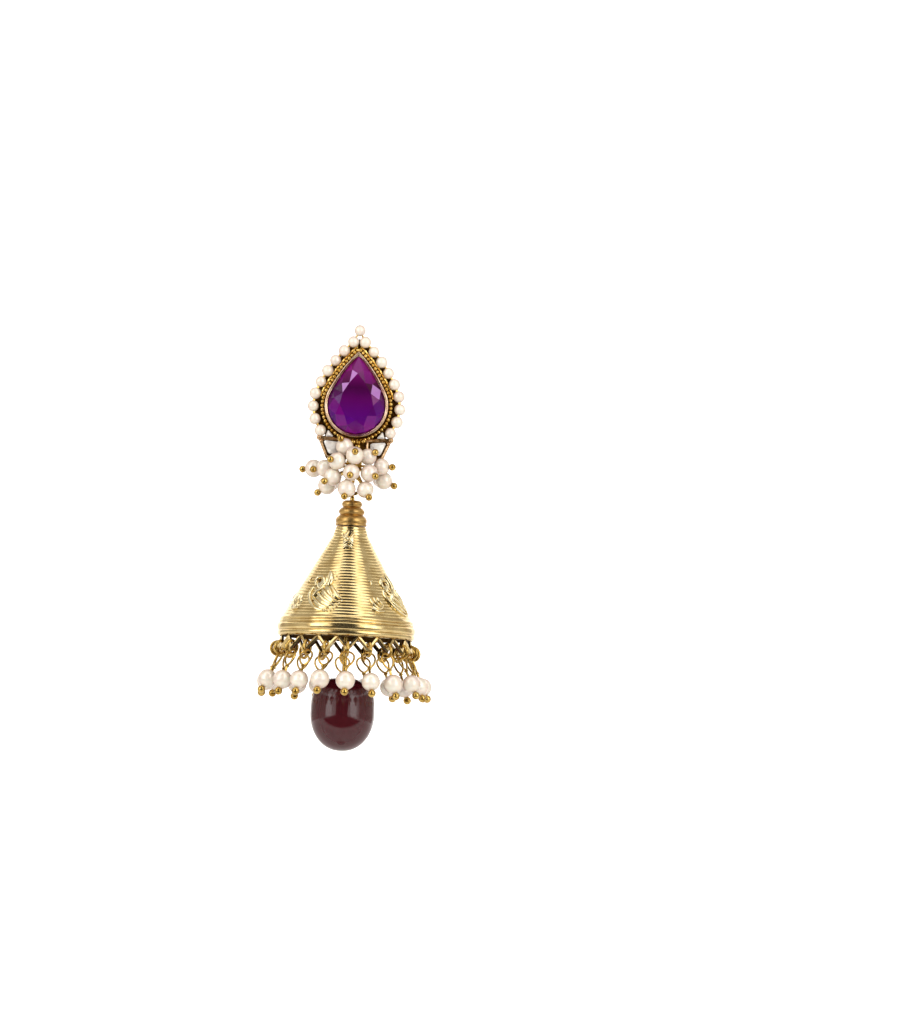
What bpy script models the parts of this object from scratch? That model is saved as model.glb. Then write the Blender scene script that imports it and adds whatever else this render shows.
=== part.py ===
# A drop earring: pearl-edged stud with a pear stone, a pearl cluster, and a bell with a pearl fringe.
# The front faces -Y, +Z is up, and the origin is where the post meets the back of the plate.
import math

import bmesh
import bpy
from mathutils import Matrix, Vector

MM = 0.001
GAP = 0.3 * MM  # air between neighbouring pieces

# Pear stone: a round end and two flank arcs that cross at the tip
STONE_RADIUS = 5.0 * MM
STONE_TIP = 8.7 * MM
FLANK_RADIUS = 25.0 * MM
STONE_CROWN = 1.5 * MM
STONE_GIRDLE = 0.3 * MM
STONE_PAVILION = 1.5 * MM
TABLE_SHARE = 0.56
MIDDLE_SHARE = 0.80
POST_ABOVE_ROUND_END = 1.1 * MM

# Setting plate
PLATE_THICKNESS = 0.8 * MM
PLATE_MARGIN = 1.35 * MM
BEZEL_MARGIN = 0.55 * MM
BEZEL_HEIGHT = 2.1 * MM
GRANULE_MARGIN = 0.76 * MM
GRANULE_RADIUS = 0.42 * MM
GRANULE_LIFT = 0.06 * MM
GRANULE_COUNT = 35

# Edge pearls
EDGE_PEARL_RADIUS = 1.02 * MM
EDGE_PEARL_PITCH = 2.29 * MM
EDGE_PEARLS_A_SIDE = 9
EDGE_WIRE_RADIUS = 0.25 * MM

# Fan under the stone, with its shell stones
FAN_DROP = 5.9 * MM
FAN_HALF_WIDTH = 6.5 * MM
FAN_FOOT_HALF_WIDTH = 5.0 * MM
FAN_HEIGHT = 3.5 * MM
FAN_RIM_RADIUS = 0.24 * MM
FAN_SET_BACK = 0.1 * MM
FAN_RIM_LIFT = 0.2 * MM
EAR_STEP = 0.05 * MM
SHELL_THICKNESS = 0.9 * MM

# Post, stem, link and bell pin
POST_RADIUS = 0.4 * MM
POST_LENGTH = 10.5 * MM
POST_PAD_RADIUS = 1.6 * MM
POST_PAD_THICKNESS = 0.4 * MM
HANG_Y = -0.6 * MM
STEM_RADIUS = 0.5 * MM
STEM_LENGTH = 2.2 * MM
WIRE_RADIUS = 0.3 * MM
LOOP_RADIUS = 0.9 * MM
LINK_RADIUS = 1.5 * MM
EYE_RADIUS = 0.75 * MM
PIN_RADIUS = 0.4 * MM

# Pearl cluster on head pins
CLUSTER_PEARL_RADIUS = 1.55 * MM
CLUSTER_REACH = 6.0 * MM
CLUSTER_SLEEVE_RADIUS = 1.4 * MM
HEAD_PIN_RADIUS = 0.2 * MM
HEAD_BALL_RADIUS = 0.62 * MM

# Cap and bell
CAP_HEIGHT = 4.3 * MM
CAP_RADIUS = 2.8 * MM
BELL_NECK_RADIUS = 2.6 * MM
BELL_HEIGHT = 19.8 * MM
BELL_CONE_RADIUS = 11.5 * MM
BELL_RIM_RADIUS = 12.2 * MM
BELL_RIM_HEIGHT = 3.4 * MM
BELL_NECK_HEIGHT = 1.7 * MM
BELL_WALL = 0.8 * MM
RIM_FOOT_INSET = 0.5 * MM
RIM_EDGE_INSET = 0.2 * MM
BELL_SEGMENTS = 32

# Relief on the bell: a leaf motif and its companion leaves, repeated round the cone
MOTIF_COUNT = 4
MOTIF_RISE = 5.2 * MM
MOTIF_LENGTH = 6.0 * MM
MOTIF_RELIEF = 0.35 * MM
MOTIF_ROOT = 0.35 * MM

# Zigzag gallery, jump rings and fringe drops
FRINGE_COUNT = 20
FRINGE_START = 3.0  # degrees round from the front to the first drop
GALLERY_HEIGHT = 2.7 * MM
GALLERY_FLARE = 0.6 * MM
GALLERY_SIT = 0.35 * MM
GALLERY_STRAP = 0.8 * MM
GALLERY_THICKNESS = 0.5 * MM
RING_RADIUS = 1.15 * MM
RING_WIRE_RADIUS = 0.28 * MM
RING_SIT = 0.85 * MM
HOOK_AIR = 0.2 * MM
EYE_LOOP_WIDTH = 2.4 * MM
EYE_LOOP_HEIGHT = 2.8 * MM
EYE_LOOP_WIRE = 0.18 * MM
FRINGE_PIN = 1.3 * MM
FRINGE_PEARL_RADIUS = 1.65 * MM
FRINGE_BALL_RADIUS = 0.7 * MM
FRINGE_SPLAY = 24.0
FRINGE_SPLAY_SPREAD = 4.0
FRINGE_LEAN_SPREAD = 3.0

# Glass drop inside the bell
DROP_RADIUS = 5.67 * MM
DROP_UPPER = 6.3 * MM
DROP_LOWER = 6.6 * MM
DROP_SHOULDER = 0.71  # 1 is an ellipse, less is squarer
DROP_FOOT = 0.92
DROP_BELOW_BELL = 13.2 * MM
DROP_BORE_DEPTH = 8.0 * MM
DROP_RING_RADIUS = 1.4 * MM
DROP_FOOT_RADIUS = 0.5 * MM
DROP_LIP = 0.4 * MM

BEAD_SIDES = 10
WIRE_SIDES = 5
TURNED_SEGMENTS = 16
PEAR_POINTS = 32
EYE_LOOP_STEPS = 8
JUMP_RING_STEPS = 8
EYE_STEPS = 10

# Levels that follow from the sizes above
ROUND_Z = -POST_ABOVE_ROUND_END
FAN_Z = ROUND_Z - FAN_DROP
STEM_FOOT_Z = FAN_Z - FAN_HEIGHT - STEM_LENGTH
LOOP_Z = STEM_FOOT_Z - LOOP_RADIUS
LOOP_FOOT_Z = LOOP_Z - LOOP_RADIUS
HOOK_STEP = 2 * WIRE_RADIUS + GAP
LINK_Z = LOOP_FOOT_Z + HOOK_STEP - LINK_RADIUS
LINK_FOOT_Z = LINK_Z - LINK_RADIUS
EYE_TOP_Z = LINK_FOOT_Z + HOOK_STEP
EYE_Z = EYE_TOP_Z - EYE_RADIUS
CAP_TOP_Z = EYE_Z - EYE_RADIUS - 2 * WIRE_RADIUS
CAP_FOOT_Z = CAP_TOP_Z - CAP_HEIGHT
BELL_TOP_Z = CAP_FOOT_Z - GAP
BELL_FOOT_Z = BELL_TOP_Z - BELL_HEIGHT
INNER_EYE_Z = BELL_TOP_Z - BELL_WALL - GAP - WIRE_RADIUS - EYE_RADIUS
INNER_EYE_FOOT_Z = INNER_EYE_Z - EYE_RADIUS
DROP_RING_Z = INNER_EYE_FOOT_Z + HOOK_STEP - DROP_RING_RADIUS
DROP_EYE_TOP_Z = DROP_RING_Z - DROP_RING_RADIUS + HOOK_STEP
DROP_EYE_Z = DROP_EYE_TOP_Z - EYE_RADIUS
DROP_Z = BELL_FOOT_Z - DROP_BELOW_BELL
DROP_TOP_Z = DROP_Z + DROP_UPPER
GALLERY_FOOT_Z = BELL_FOOT_Z - GALLERY_HEIGHT
RIM_FOOT_RADIUS = BELL_RIM_RADIUS - RIM_FOOT_INSET
GALLERY_TOP_RADIUS = RIM_FOOT_RADIUS - BELL_WALL / 2
GALLERY_FOOT_RADIUS = GALLERY_TOP_RADIUS + GALLERY_FLARE
HANG = Vector((0, HANG_Y, 0))

# Cluster pearls: degrees round from the front (+ to the viewer's right), degrees up, share of the reach
CLUSTER = (
    # turn, tilt, reach
    (-34, 4, 0.87),
    (2, 16, 0.87),
    (41, 21, 0.68),
    (-29, 41, 0.78),
    (-51, -27, 0.86),
    (-4, -18, 0.83),
    (35, -17, 0.87),
    (-13, -45, 1.05),
    (31, -45, 1.04),
    (-83, -8, 0.87),
    (-104, -5, 1.23),
    (72, -1, 0.86),
    (93, -24, 0.99),
    (-90, -39, 0.99),
    (125, -18, 1.02),
    (-135, -26, 1.00),
)

# Shell stones of the fan, right side: share of the fan's half width, share of its height down from the bar
CORNER_STONE = ((0.74, -0.44), (0.58, -0.09), (0.81, -0.09))
PETAL_STONE = ((0.86, 0.10), (0.70, 0.78), (0.44, 0.72), (0.42, 0.17))
PETAL_RIM = ((0.95, 0.02), (0.74, 0.93), (0.34, 0.86), (0.34, 0.05))


def material(name, colour, roughness, metallic):
    made = bpy.data.materials.new(name)
    made.use_nodes = True
    shader = made.node_tree.nodes["Principled BSDF"]
    shader.inputs["Base Color"].default_value = (*colour, 1.0)
    shader.inputs["Roughness"].default_value = roughness
    shader.inputs["Metallic"].default_value = metallic
    made.diffuse_color = (*colour, 1.0)
    return made


def add_object(name, mesh, finish, matrix=None, parent=None):
    obj = bpy.data.objects.new(name, mesh)
    bpy.context.collection.objects.link(obj)
    if finish.name not in mesh.materials:
        mesh.materials.append(finish)
    obj.parent = parent
    bpy.context.view_layer.update()
    obj.matrix_world = matrix if matrix else Matrix.Identity(4)
    return obj


def pivot(name, place):
    # An empty on a joint's axis, which the moving pieces hang from
    empty = bpy.data.objects.new(name, None)
    bpy.context.collection.objects.link(empty)
    empty.location = place
    return empty


def mesh_from(rings, closed=False):
    # Joins each ring of points to the next, then fills the two ends or joins the last ring to the first
    bm = bmesh.new()
    loops = [[bm.verts.new(point) for point in ring] for ring in rings]
    pairs = list(zip(loops, loops[1:]))
    if closed:
        pairs.append((loops[-1], loops[0]))
    for lower, upper in pairs:
        count = len(lower)
        for k in range(count):
            following = (k + 1) % count
            bm.faces.new((lower[k], lower[following], upper[following], upper[k]))
    if not closed:
        bm.faces.new(reversed(loops[0]))
        bm.faces.new(loops[-1])
    bmesh.ops.remove_doubles(bm, verts=bm.verts, dist=1e-7)
    bmesh.ops.recalc_face_normals(bm, faces=bm.faces)
    mesh = bpy.data.meshes.new("mesh")
    bm.to_mesh(mesh)
    bm.free()
    mesh.shade_smooth()
    mesh.set_sharp_from_angle(angle=math.radians(35))
    return mesh


def circle(centre, direction, radius, sides):
    # A ring of points across a direction, turned the same way for nearby directions
    direction = direction.normalized()
    reference = Vector((0, 0, 1)) if abs(direction.z) < 0.9 else Vector((0, 1, 0))
    across = direction.cross(reference).normalized()
    up = direction.cross(across)
    turns = [2 * math.pi * k / sides for k in range(sides)]
    return [centre + radius * (math.cos(t) * across + math.sin(t) * up) for t in turns]


def bend_ring(middle, direction, radius, sides=WIRE_SIDES):
    # A ring of points across a wire whose path lies in a plane that faces the front
    across = Vector((0, 1, 0))
    up = direction.normalized().cross(across)
    turns = [2 * math.pi * k / sides for k in range(sides)]
    return [middle + radius * (math.cos(t) * across + math.sin(t) * up) for t in turns]


def torus(centre, normal, radius, wire, segments, sides=WIRE_SIDES):
    normal = normal.normalized()
    spokes = circle(Vector((0, 0, 0)), normal, 1.0, segments)
    rings = []
    for spoke in spokes:
        turns = [2 * math.pi * k / sides for k in range(sides)]
        middle = centre + radius * spoke
        rings.append([middle + wire * (math.cos(t) * spoke + math.sin(t) * normal) for t in turns])
    return mesh_from(rings, closed=True)


def beads_on_pin(start, direction, stations, sides=BEAD_SIDES):
    # A turned piece: stations are pairs of distance along the direction and radius
    direction = direction.normalized()
    return mesh_from([circle(start + along * direction, direction, r, sides) for along, r in stations])


def ball_stations(middle, radius, wire):
    # A ball on a wire: the wire's edge, two wide rings, and the wire's edge again
    wide = radius * 0.95
    step = radius * 0.40
    return [(middle - radius, wire), (middle - step, wide), (middle + step, wide), (middle + radius, wire)]


def turned(profile, segments):
    # A closed profile of (radius, z) pairs carried round the hanging axis
    rings = []
    for k in range(segments):
        t = 2 * math.pi * k / segments
        rings.append([Vector((r * math.cos(t), HANG_Y + r * math.sin(t), z)) for r, z in profile])
    return mesh_from(rings, closed=True)


def slab(outline, front, back):
    # A flat piece: an outline of (x, z) pairs between two depths
    near = [Vector((x, front, z)) for x, z in outline]
    far = [Vector((x, back, z)) for x, z in outline]
    return mesh_from([near, far])


def combine(base, others, operation):
    # Applies a Boolean of each mesh in turn to the base mesh
    holder = bpy.data.objects.new("holder", base)
    bpy.context.collection.objects.link(holder)
    tools = bpy.data.collections.new("tools")
    for mesh in others:
        tools.objects.link(bpy.data.objects.new("tool", mesh))
    boolean = holder.modifiers.new("join", "BOOLEAN")
    boolean.operation = operation
    boolean.solver = "EXACT"
    boolean.use_self = True
    boolean.operand_type = "COLLECTION"
    boolean.collection = tools
    bpy.context.view_layer.update()
    graph = bpy.context.evaluated_depsgraph_get()
    result = bpy.data.meshes.new_from_object(holder.evaluated_get(graph))
    for obj in [holder, *tools.objects]:
        bpy.data.objects.remove(obj)
    bpy.data.collections.remove(tools)
    return result


def union(base, *others):
    return combine(base, others, "UNION")


def cut(base, *others):
    return combine(base, others, "DIFFERENCE")


def flank_centre():
    tip, r, big = STONE_TIP, STONE_RADIUS, FLANK_RADIUS
    z = (tip * tip + r * r - 2 * big * r) / (2 * tip)
    return -math.sqrt((big - r) ** 2 - z * z), z


def pear_spans(margin):
    # The flank arc's start and end angles, and the round end's radius, for an outline this far out
    fx, fz = flank_centre()
    big = FLANK_RADIUS + margin
    start = math.acos(-fx / big)
    join = math.atan2(-fz, -fx)
    return fx, fz, big, start, join, STONE_RADIUS + margin


def pear_half_length(margin):
    _, _, big, start, join, r = pear_spans(margin)
    return big * (start - join) + r * (join + math.pi / 2)


def pear_point(margin, along):
    # A point of the outline, this far from the tip along the right side, or the left where negative
    fx, fz, big, start, join, r = pear_spans(margin)
    side = math.copysign(1, along)
    flank = big * (start - join)
    if abs(along) < flank:
        t = start - abs(along) / big
        x, z = fx + big * math.cos(t), fz + big * math.sin(t)
    else:
        t = join - (abs(along) - flank) / r
        x, z = r * math.cos(t), r * math.sin(t)
    return side * x, ROUND_Z + z


def pear_outline(margin, count):
    half = pear_half_length(margin)
    return [pear_point(margin, -half + 2 * half * k / count) for k in range(count)]


def shrink(outline, share):
    x = sum(p[0] for p in outline) / len(outline)
    z = sum(p[1] for p in outline) / len(outline)
    return [(x + (px - x) * share, z + (pz - z) * share) for px, pz in outline]


def brilliant(outline, girdle_y, crown, girdle, pavilion):
    # A cut stone: table, star and kite facets above the girdle, and a plain pavilion under it
    count = len(outline)
    table = shrink(outline, TABLE_SHARE)[::2]
    middle = shrink(outline, MIDDLE_SHARE)[1::2]
    foot = shrink(outline, TABLE_SHARE)
    bm = bmesh.new()
    top = [bm.verts.new((x, girdle_y - crown, z)) for x, z in table]
    kite = [bm.verts.new((x, girdle_y - crown * 0.62, z)) for x, z in middle]
    edge = [bm.verts.new((x, girdle_y, z)) for x, z in outline]
    under = [bm.verts.new((x, girdle_y + girdle, z)) for x, z in outline]
    base = [bm.verts.new((x, girdle_y + girdle + pavilion, z)) for x, z in foot]
    half = count // 2
    for k in range(half):
        after = (k + 1) % half
        bm.faces.new((top[k], kite[k], top[after]))
        bm.faces.new((top[k], kite[k - 1], edge[2 * k], kite[k]))
        bm.faces.new((kite[k], edge[2 * k], edge[2 * k + 1]))
        bm.faces.new((kite[k], edge[2 * k + 1], edge[(2 * k + 2) % count]))
    for k in range(count):
        after = (k + 1) % count
        bm.faces.new((edge[k], edge[after], under[after], under[k]))
        bm.faces.new((under[k], under[after], base[after], base[k]))
    bm.faces.new(top)
    bm.faces.new(base)
    bmesh.ops.recalc_face_normals(bm, faces=bm.faces)
    mesh = bpy.data.meshes.new("stone")
    bm.to_mesh(mesh)
    bm.free()
    return mesh


def granule_string():
    # A closed string of granules along the plate's edge, narrowed between one granule and the next
    half = pear_half_length(GRANULE_MARGIN)
    y = -PLATE_THICKNESS - GRANULE_LIFT
    rings = []
    count = 2 * GRANULE_COUNT
    for k in range(count):
        along = -half + 2 * half * (k + 0.5) / count
        here = pear_point(GRANULE_MARGIN, along)
        ahead = pear_point(GRANULE_MARGIN, along + half / count)
        behind = pear_point(GRANULE_MARGIN, along - half / count)
        direction = Vector((ahead[0] - behind[0], 0, ahead[1] - behind[1]))
        radius = GRANULE_RADIUS if k % 2 else GRANULE_RADIUS * 0.72
        rings.append(bend_ring(Vector((here[0], y, here[1])), direction, radius))
    return mesh_from(rings, closed=True)


def fan_point(side, share):
    across, down = share
    return side * across * FAN_HALF_WIDTH, FAN_Z - down * FAN_HEIGHT


def fan_plates():
    # The fan itself, and an ear on each side that reaches up behind the corner stone
    back, front = -FAN_SET_BACK, -FAN_SET_BACK - PLATE_THICKNESS
    fan = [
        (-FAN_HALF_WIDTH, FAN_Z), (FAN_HALF_WIDTH, FAN_Z),
        (FAN_FOOT_HALF_WIDTH, FAN_Z - FAN_HEIGHT), (-FAN_FOOT_HALF_WIDTH, FAN_Z - FAN_HEIGHT),
    ]
    plates = [slab(fan, front, back)]
    for side in (-1, 1):
        ear = [fan_point(side, s) for s in ((0.55, 0.12), (0.90, 0.12), (0.83, -0.14), (0.75, -0.58), (0.55, -0.50))]
        plates.append(slab(ear, front + EAR_STEP, back + EAR_STEP))
    return plates


def rim_wire(corners, y):
    # A wire bent round the corners of a stone, closed on itself
    count = len(corners)
    points = [Vector((x, y, z)) for x, z in corners]
    rings = []
    for k, point in enumerate(points):
        before = (point - points[k - 1]).normalized()
        after = (points[(k + 1) % count] - point).normalized()
        rings.append(bend_ring(point, before + after, FAN_RIM_RADIUS * 1.1))
    return mesh_from(rings, closed=True)


def stem():
    top = Vector((0, HANG_Y, FAN_Z))
    rod = beads_on_pin(top, Vector((0, 0, -1)), [(0, STEM_RADIUS), (FAN_Z - STEM_FOOT_Z + WIRE_RADIUS, STEM_RADIUS)], 8)
    loop = torus(Vector((0, HANG_Y, LOOP_Z)), Vector((1, 0, 0)), LOOP_RADIUS, WIRE_RADIUS, 12)
    return [rod, loop]


def setting_plate():
    plate = slab(pear_outline(PLATE_MARGIN, PEAR_POINTS), -PLATE_THICKNESS, 0)
    bezel_front = -PLATE_THICKNESS - BEZEL_HEIGHT
    bezel = slab(pear_outline(BEZEL_MARGIN, PEAR_POINTS), bezel_front, -PLATE_THICKNESS / 2)
    rims = [rim_wire([fan_point(side, s) for s in PETAL_RIM], -PLATE_THICKNESS - FAN_RIM_LIFT) for side in (-1, 1)]
    whole = union(plate, bezel, granule_string(), *fan_plates(), *rims, *stem())
    pocket = slab(pear_outline(GAP / 2, PEAR_POINTS), bezel_front - GAP, -PLATE_THICKNESS * 0.7)
    return cut(whole, pocket)


def pear_stone():
    girdle_y = -PLATE_THICKNESS - BEZEL_HEIGHT + STONE_GIRDLE / 2
    return brilliant(pear_outline(-GAP / 2, 20), girdle_y, STONE_CROWN, STONE_GIRDLE, STONE_PAVILION)


def shell_stone(side, corners):
    # A small stone with its corners cut off, a table and bevelled sides
    points = [fan_point(side, s) for s in corners]
    count = len(points)
    outline = []
    for k, (x, z) in enumerate(points):
        for near in (points[k - 1], points[(k + 1) % count]):
            outline.append((x + (near[0] - x) * 0.22, z + (near[1] - z) * 0.22))
    back = -FAN_SET_BACK - PLATE_THICKNESS - GAP
    near_y = back - SHELL_THICKNESS
    levels = ((outline, back), (outline, back - SHELL_THICKNESS * 0.45), (shrink(outline, 0.55), near_y))
    return mesh_from([[Vector((x, y, z)) for x, z in shape] for shape, y in levels])


def edge_pearls():
    # Pearls side by side on one wire: up the left side, over the tip and down the right
    margin = PLATE_MARGIN + GAP + EDGE_PEARL_RADIUS
    y = -EDGE_PEARL_RADIUS
    first = EDGE_PEARL_PITCH * 0.62
    side = [pear_point(margin, first + EDGE_PEARL_PITCH * k) for k in range(EDGE_PEARLS_A_SIDE)]
    x, z = side[0]
    apex = (0, z + math.sqrt(EDGE_PEARL_PITCH ** 2 - x ** 2))
    places = [(-px, pz) for px, pz in reversed(side)] + [apex] + side
    centres = [Vector((px, y, pz)) for px, pz in places]
    rings = []
    for k, centre in enumerate(centres):
        before = centres[max(k - 1, 0)]
        after = centres[min(k + 1, len(centres) - 1)]
        direction = (after - before).normalized()
        for along, radius in ball_stations(0, EDGE_PEARL_RADIUS, EDGE_WIRE_RADIUS):
            rings.append(bend_ring(centre + along * direction, direction, radius, BEAD_SIDES))
    return mesh_from(rings)


def cluster_pins():
    # Head pins start at a sleeve round the stem, and each holds one pearl and ends in a ball
    heart = Vector((0, HANG_Y, FAN_Z - FAN_HEIGHT - STEM_LENGTH / 2))
    hole = STEM_RADIUS + GAP
    height = (STEM_LENGTH - GAP) / 2
    sleeve = [
        (hole, heart.z + height), (CLUSTER_SLEEVE_RADIUS, heart.z + height),
        (CLUSTER_SLEEVE_RADIUS, heart.z - height), (hole, heart.z - height),
    ]
    pins = []
    for turn, tilt, share in CLUSTER:
        t, u = math.radians(turn), math.radians(tilt)
        direction = Vector((math.sin(t) * math.cos(u), -math.cos(t) * math.cos(u), math.sin(u)))
        reach = CLUSTER_REACH * share
        start = (hole + HEAD_PIN_RADIUS / 2) / math.cos(u)
        along = ball_stations(reach, CLUSTER_PEARL_RADIUS, HEAD_PIN_RADIUS)
        tip = reach + CLUSTER_PEARL_RADIUS
        ball = [(tip + HEAD_BALL_RADIUS * 0.8, HEAD_BALL_RADIUS), (tip + HEAD_BALL_RADIUS * 1.7, HEAD_BALL_RADIUS * 0.4)]
        pins.append(beads_on_pin(heart, direction, [(start, HEAD_PIN_RADIUS), *along, *ball]))
    return union(turned(sleeve, 12), *pins)


def ear_post():
    pad = POST_PAD_THICKNESS
    stations = [(GAP, POST_PAD_RADIUS), (GAP + pad, POST_PAD_RADIUS), (GAP + pad, POST_RADIUS), (POST_LENGTH, POST_RADIUS)]
    return beads_on_pin(Vector((0, 0, 0)), Vector((0, 1, 0)), stations, 12)


def link():
    return torus(Vector((0, HANG_Y, LINK_Z)), Vector((0, 1, 0)), LINK_RADIUS, WIRE_RADIUS, 12)


def bell_pin():
    # An eye above the cap, a shaft through cap and crown, and an eye inside the bell
    side = Vector((1, 0, 0))
    eye = torus(Vector((0, HANG_Y, EYE_Z)), side, EYE_RADIUS, WIRE_RADIUS, EYE_STEPS)
    inner = torus(Vector((0, HANG_Y, INNER_EYE_Z)), side, EYE_RADIUS, WIRE_RADIUS, EYE_STEPS)
    top = EYE_Z - EYE_RADIUS
    shaft = beads_on_pin(
        Vector((0, HANG_Y, top)), Vector((0, 0, -1)),
        [(0, PIN_RADIUS), (top - INNER_EYE_Z - EYE_RADIUS, PIN_RADIUS)], 8)
    return union(shaft, eye, inner)


def cap():
    # Three bulged tiers, each wider than the one above, on a bored core
    bore = PIN_RADIUS + GAP
    profile = [(bore, CAP_TOP_Z), (CAP_RADIUS * 0.45, CAP_TOP_Z)]
    for tier, share in enumerate((0.64, 0.87, 1.0)):
        top = CAP_TOP_Z - CAP_HEIGHT * tier / 3
        height = CAP_HEIGHT / 3
        profile.append((CAP_RADIUS * share, top - height * 0.42))
        profile.append((CAP_RADIUS * (share + 0.01), top - height * 0.72))
        if tier < 2:
            profile.append((CAP_RADIUS * (share - 0.03), top - height))
    profile.append((CAP_RADIUS * 0.98, CAP_FOOT_Z))
    profile.append((bore, CAP_FOOT_Z))
    return turned(profile, TURNED_SEGMENTS)


def cone_radius(below):
    # The cone's outer radius this far below the bell's top
    start, end = BELL_NECK_HEIGHT, BELL_HEIGHT - BELL_RIM_HEIGHT
    neck = BELL_NECK_RADIUS * 1.2
    share = (below - start) / (end - start)
    return neck + (BELL_CONE_RADIUS - neck) * share


def bell_profile():
    bore = PIN_RADIUS + GAP
    z = BELL_TOP_Z
    rim_top = BELL_HEIGHT - BELL_RIM_HEIGHT
    slope = (BELL_CONE_RADIUS - BELL_NECK_RADIUS) / (rim_top - BELL_NECK_HEIGHT)
    side_wall = BELL_WALL * math.sqrt(1 + slope ** 2)
    outer = [
        (bore, z), (BELL_NECK_RADIUS, z), (cone_radius(BELL_NECK_HEIGHT), z - BELL_NECK_HEIGHT),
        (BELL_CONE_RADIUS, z - rim_top), (BELL_RIM_RADIUS - RIM_EDGE_INSET, z - rim_top - BELL_RIM_HEIGHT * 0.22),
        (BELL_RIM_RADIUS, z - rim_top - BELL_RIM_HEIGHT * 0.5),
        (BELL_RIM_RADIUS - RIM_EDGE_INSET / 2, z - rim_top - BELL_RIM_HEIGHT * 0.8), (RIM_FOOT_RADIUS, BELL_FOOT_Z),
    ]
    inner = [
        (RIM_FOOT_RADIUS - BELL_WALL, BELL_FOOT_Z), (BELL_CONE_RADIUS - side_wall, z - rim_top),
        (cone_radius(BELL_NECK_HEIGHT) - side_wall + RIM_EDGE_INSET, z - BELL_NECK_HEIGHT - RIM_EDGE_INSET),
        (BELL_NECK_RADIUS - BELL_WALL, z - BELL_WALL), (bore, z - BELL_WALL),
    ]
    return outer + inner


def gallery():
    # A strap that zigzags round under the rim, with its upper points in the rim
    rings = []
    for k in range(2 * FRINGE_COUNT):
        t = fringe_turn(k / 2) - math.pi / 2
        up = k % 2
        radius = GALLERY_TOP_RADIUS if up else GALLERY_FOOT_RADIUS
        low = BELL_FOOT_Z + GALLERY_SIT - GALLERY_STRAP if up else GALLERY_FOOT_Z
        corners = ((-0.5, 0), (0.5, 0), (0.5, 1), (-0.5, 1))
        ring = []
        for across, rise in corners:
            r = radius + across * GALLERY_THICKNESS
            ring.append(Vector((r * math.cos(t), HANG_Y + r * math.sin(t), low + rise * GALLERY_STRAP)))
        rings.append(ring)
    return mesh_from(rings, closed=True)


def leaf(turn, rise, lean, length, width, relief):
    # A pointed raised leaf on the cone: turn round the bell, rise above its foot, lean from upright
    rings = []
    sides = 6
    for share, proud in ((1.0, -MOTIF_ROOT), (1.0, relief * 0.45), (0.55, relief)):
        ring = []
        for k in range(sides):
            t = 2 * math.pi * k / sides
            u = 0.5 * width * share * math.sin(t) * (1 - 0.25 * math.cos(t))
            v = 0.5 * length * share * math.cos(t)
            across = u * math.cos(lean) + v * math.sin(lean)
            up = v * math.cos(lean) - u * math.sin(lean)
            z = BELL_FOOT_Z + rise + up
            radius = cone_radius(BELL_TOP_Z - z) + proud
            angle = turn + across / radius
            ring.append(Vector((radius * math.sin(angle), HANG_Y - radius * math.cos(angle), z)))
        rings.append(ring)
    return mesh_from(rings)


def relief():
    # Each motif is an upright leaf, a curled body and a sweeping tail, with a small leaf beside it
    leaves = []
    long = MOTIF_LENGTH
    for k in range(MOTIF_COUNT):
        turn = 2 * math.pi * k / MOTIF_COUNT - math.radians(22)
        rise = BELL_RIM_HEIGHT + MOTIF_RISE * 0.62
        leaves.append(leaf(turn, rise + long * 0.30, -0.15, long * 0.55, long * 0.24, MOTIF_RELIEF))
        leaves.append(leaf(turn - 0.16, rise - long * 0.02, 0.5, long * 0.50, long * 0.26, MOTIF_RELIEF))
        leaves.append(leaf(turn + 0.10, rise - long * 0.20, -1.05, long * 0.80, long * 0.26, MOTIF_RELIEF))
        leaves.append(leaf(turn - 0.48, rise - long * 0.16, 0.45, long * 0.36, long * 0.16, MOTIF_RELIEF * 0.8))
    return leaves


def bell():
    return union(turned(bell_profile(), BELL_SEGMENTS), gallery(), *relief())


def fringe_turn(k):
    return math.radians(FRINGE_START) + 2 * math.pi * k / FRINGE_COUNT


def ring_middle():
    # The jump ring's centre, out from the axis at the front: its top wire sits over the gallery's point
    return GALLERY_FOOT_Z + GALLERY_STRAP + RING_SIT - RING_RADIUS


def jump_ring():
    centre = Vector((0, -GALLERY_FOOT_RADIUS, ring_middle()))
    return torus(centre, Vector((1, 0, 0)), RING_RADIUS, RING_WIRE_RADIUS, JUMP_RING_STEPS)


def fringe_drop():
    # Hung at the origin: a pear-shaped eye, then a pin with its pearl and ball
    top = RING_WIRE_RADIUS + EYE_LOOP_WIRE + HOOK_AIR
    rings = []
    for k in range(EYE_LOOP_STEPS):
        t = 2 * math.pi * k / EYE_LOOP_STEPS
        x = 0.5 * EYE_LOOP_WIDTH * math.sin(t) * (1 + 0.25 * math.cos(t))
        z = top - 0.5 * EYE_LOOP_HEIGHT * (1 - math.cos(t))
        dx = math.cos(t) + 0.25 * math.cos(2 * t)
        dz = -math.sin(t) * EYE_LOOP_HEIGHT / EYE_LOOP_WIDTH
        rings.append(bend_ring(Vector((x, 0, z)), Vector((dx, 0, dz)), EYE_LOOP_WIRE))
    loop = mesh_from(rings, closed=True)
    start = Vector((0, 0, top - EYE_LOOP_HEIGHT + EYE_LOOP_WIRE * 0.5))
    pearl = ball_stations(FRINGE_PIN + FRINGE_PEARL_RADIUS, FRINGE_PEARL_RADIUS, EYE_LOOP_WIRE * 1.3)
    tip = FRINGE_PIN + 2 * FRINGE_PEARL_RADIUS
    r = FRINGE_BALL_RADIUS
    stations = [(0, EYE_LOOP_WIRE * 1.3), *pearl, (tip + r * 0.7, r), (tip + r * 1.6, r * 0.45)]
    return union(beads_on_pin(start, Vector((0, 0, -1)), stations), loop)


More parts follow.
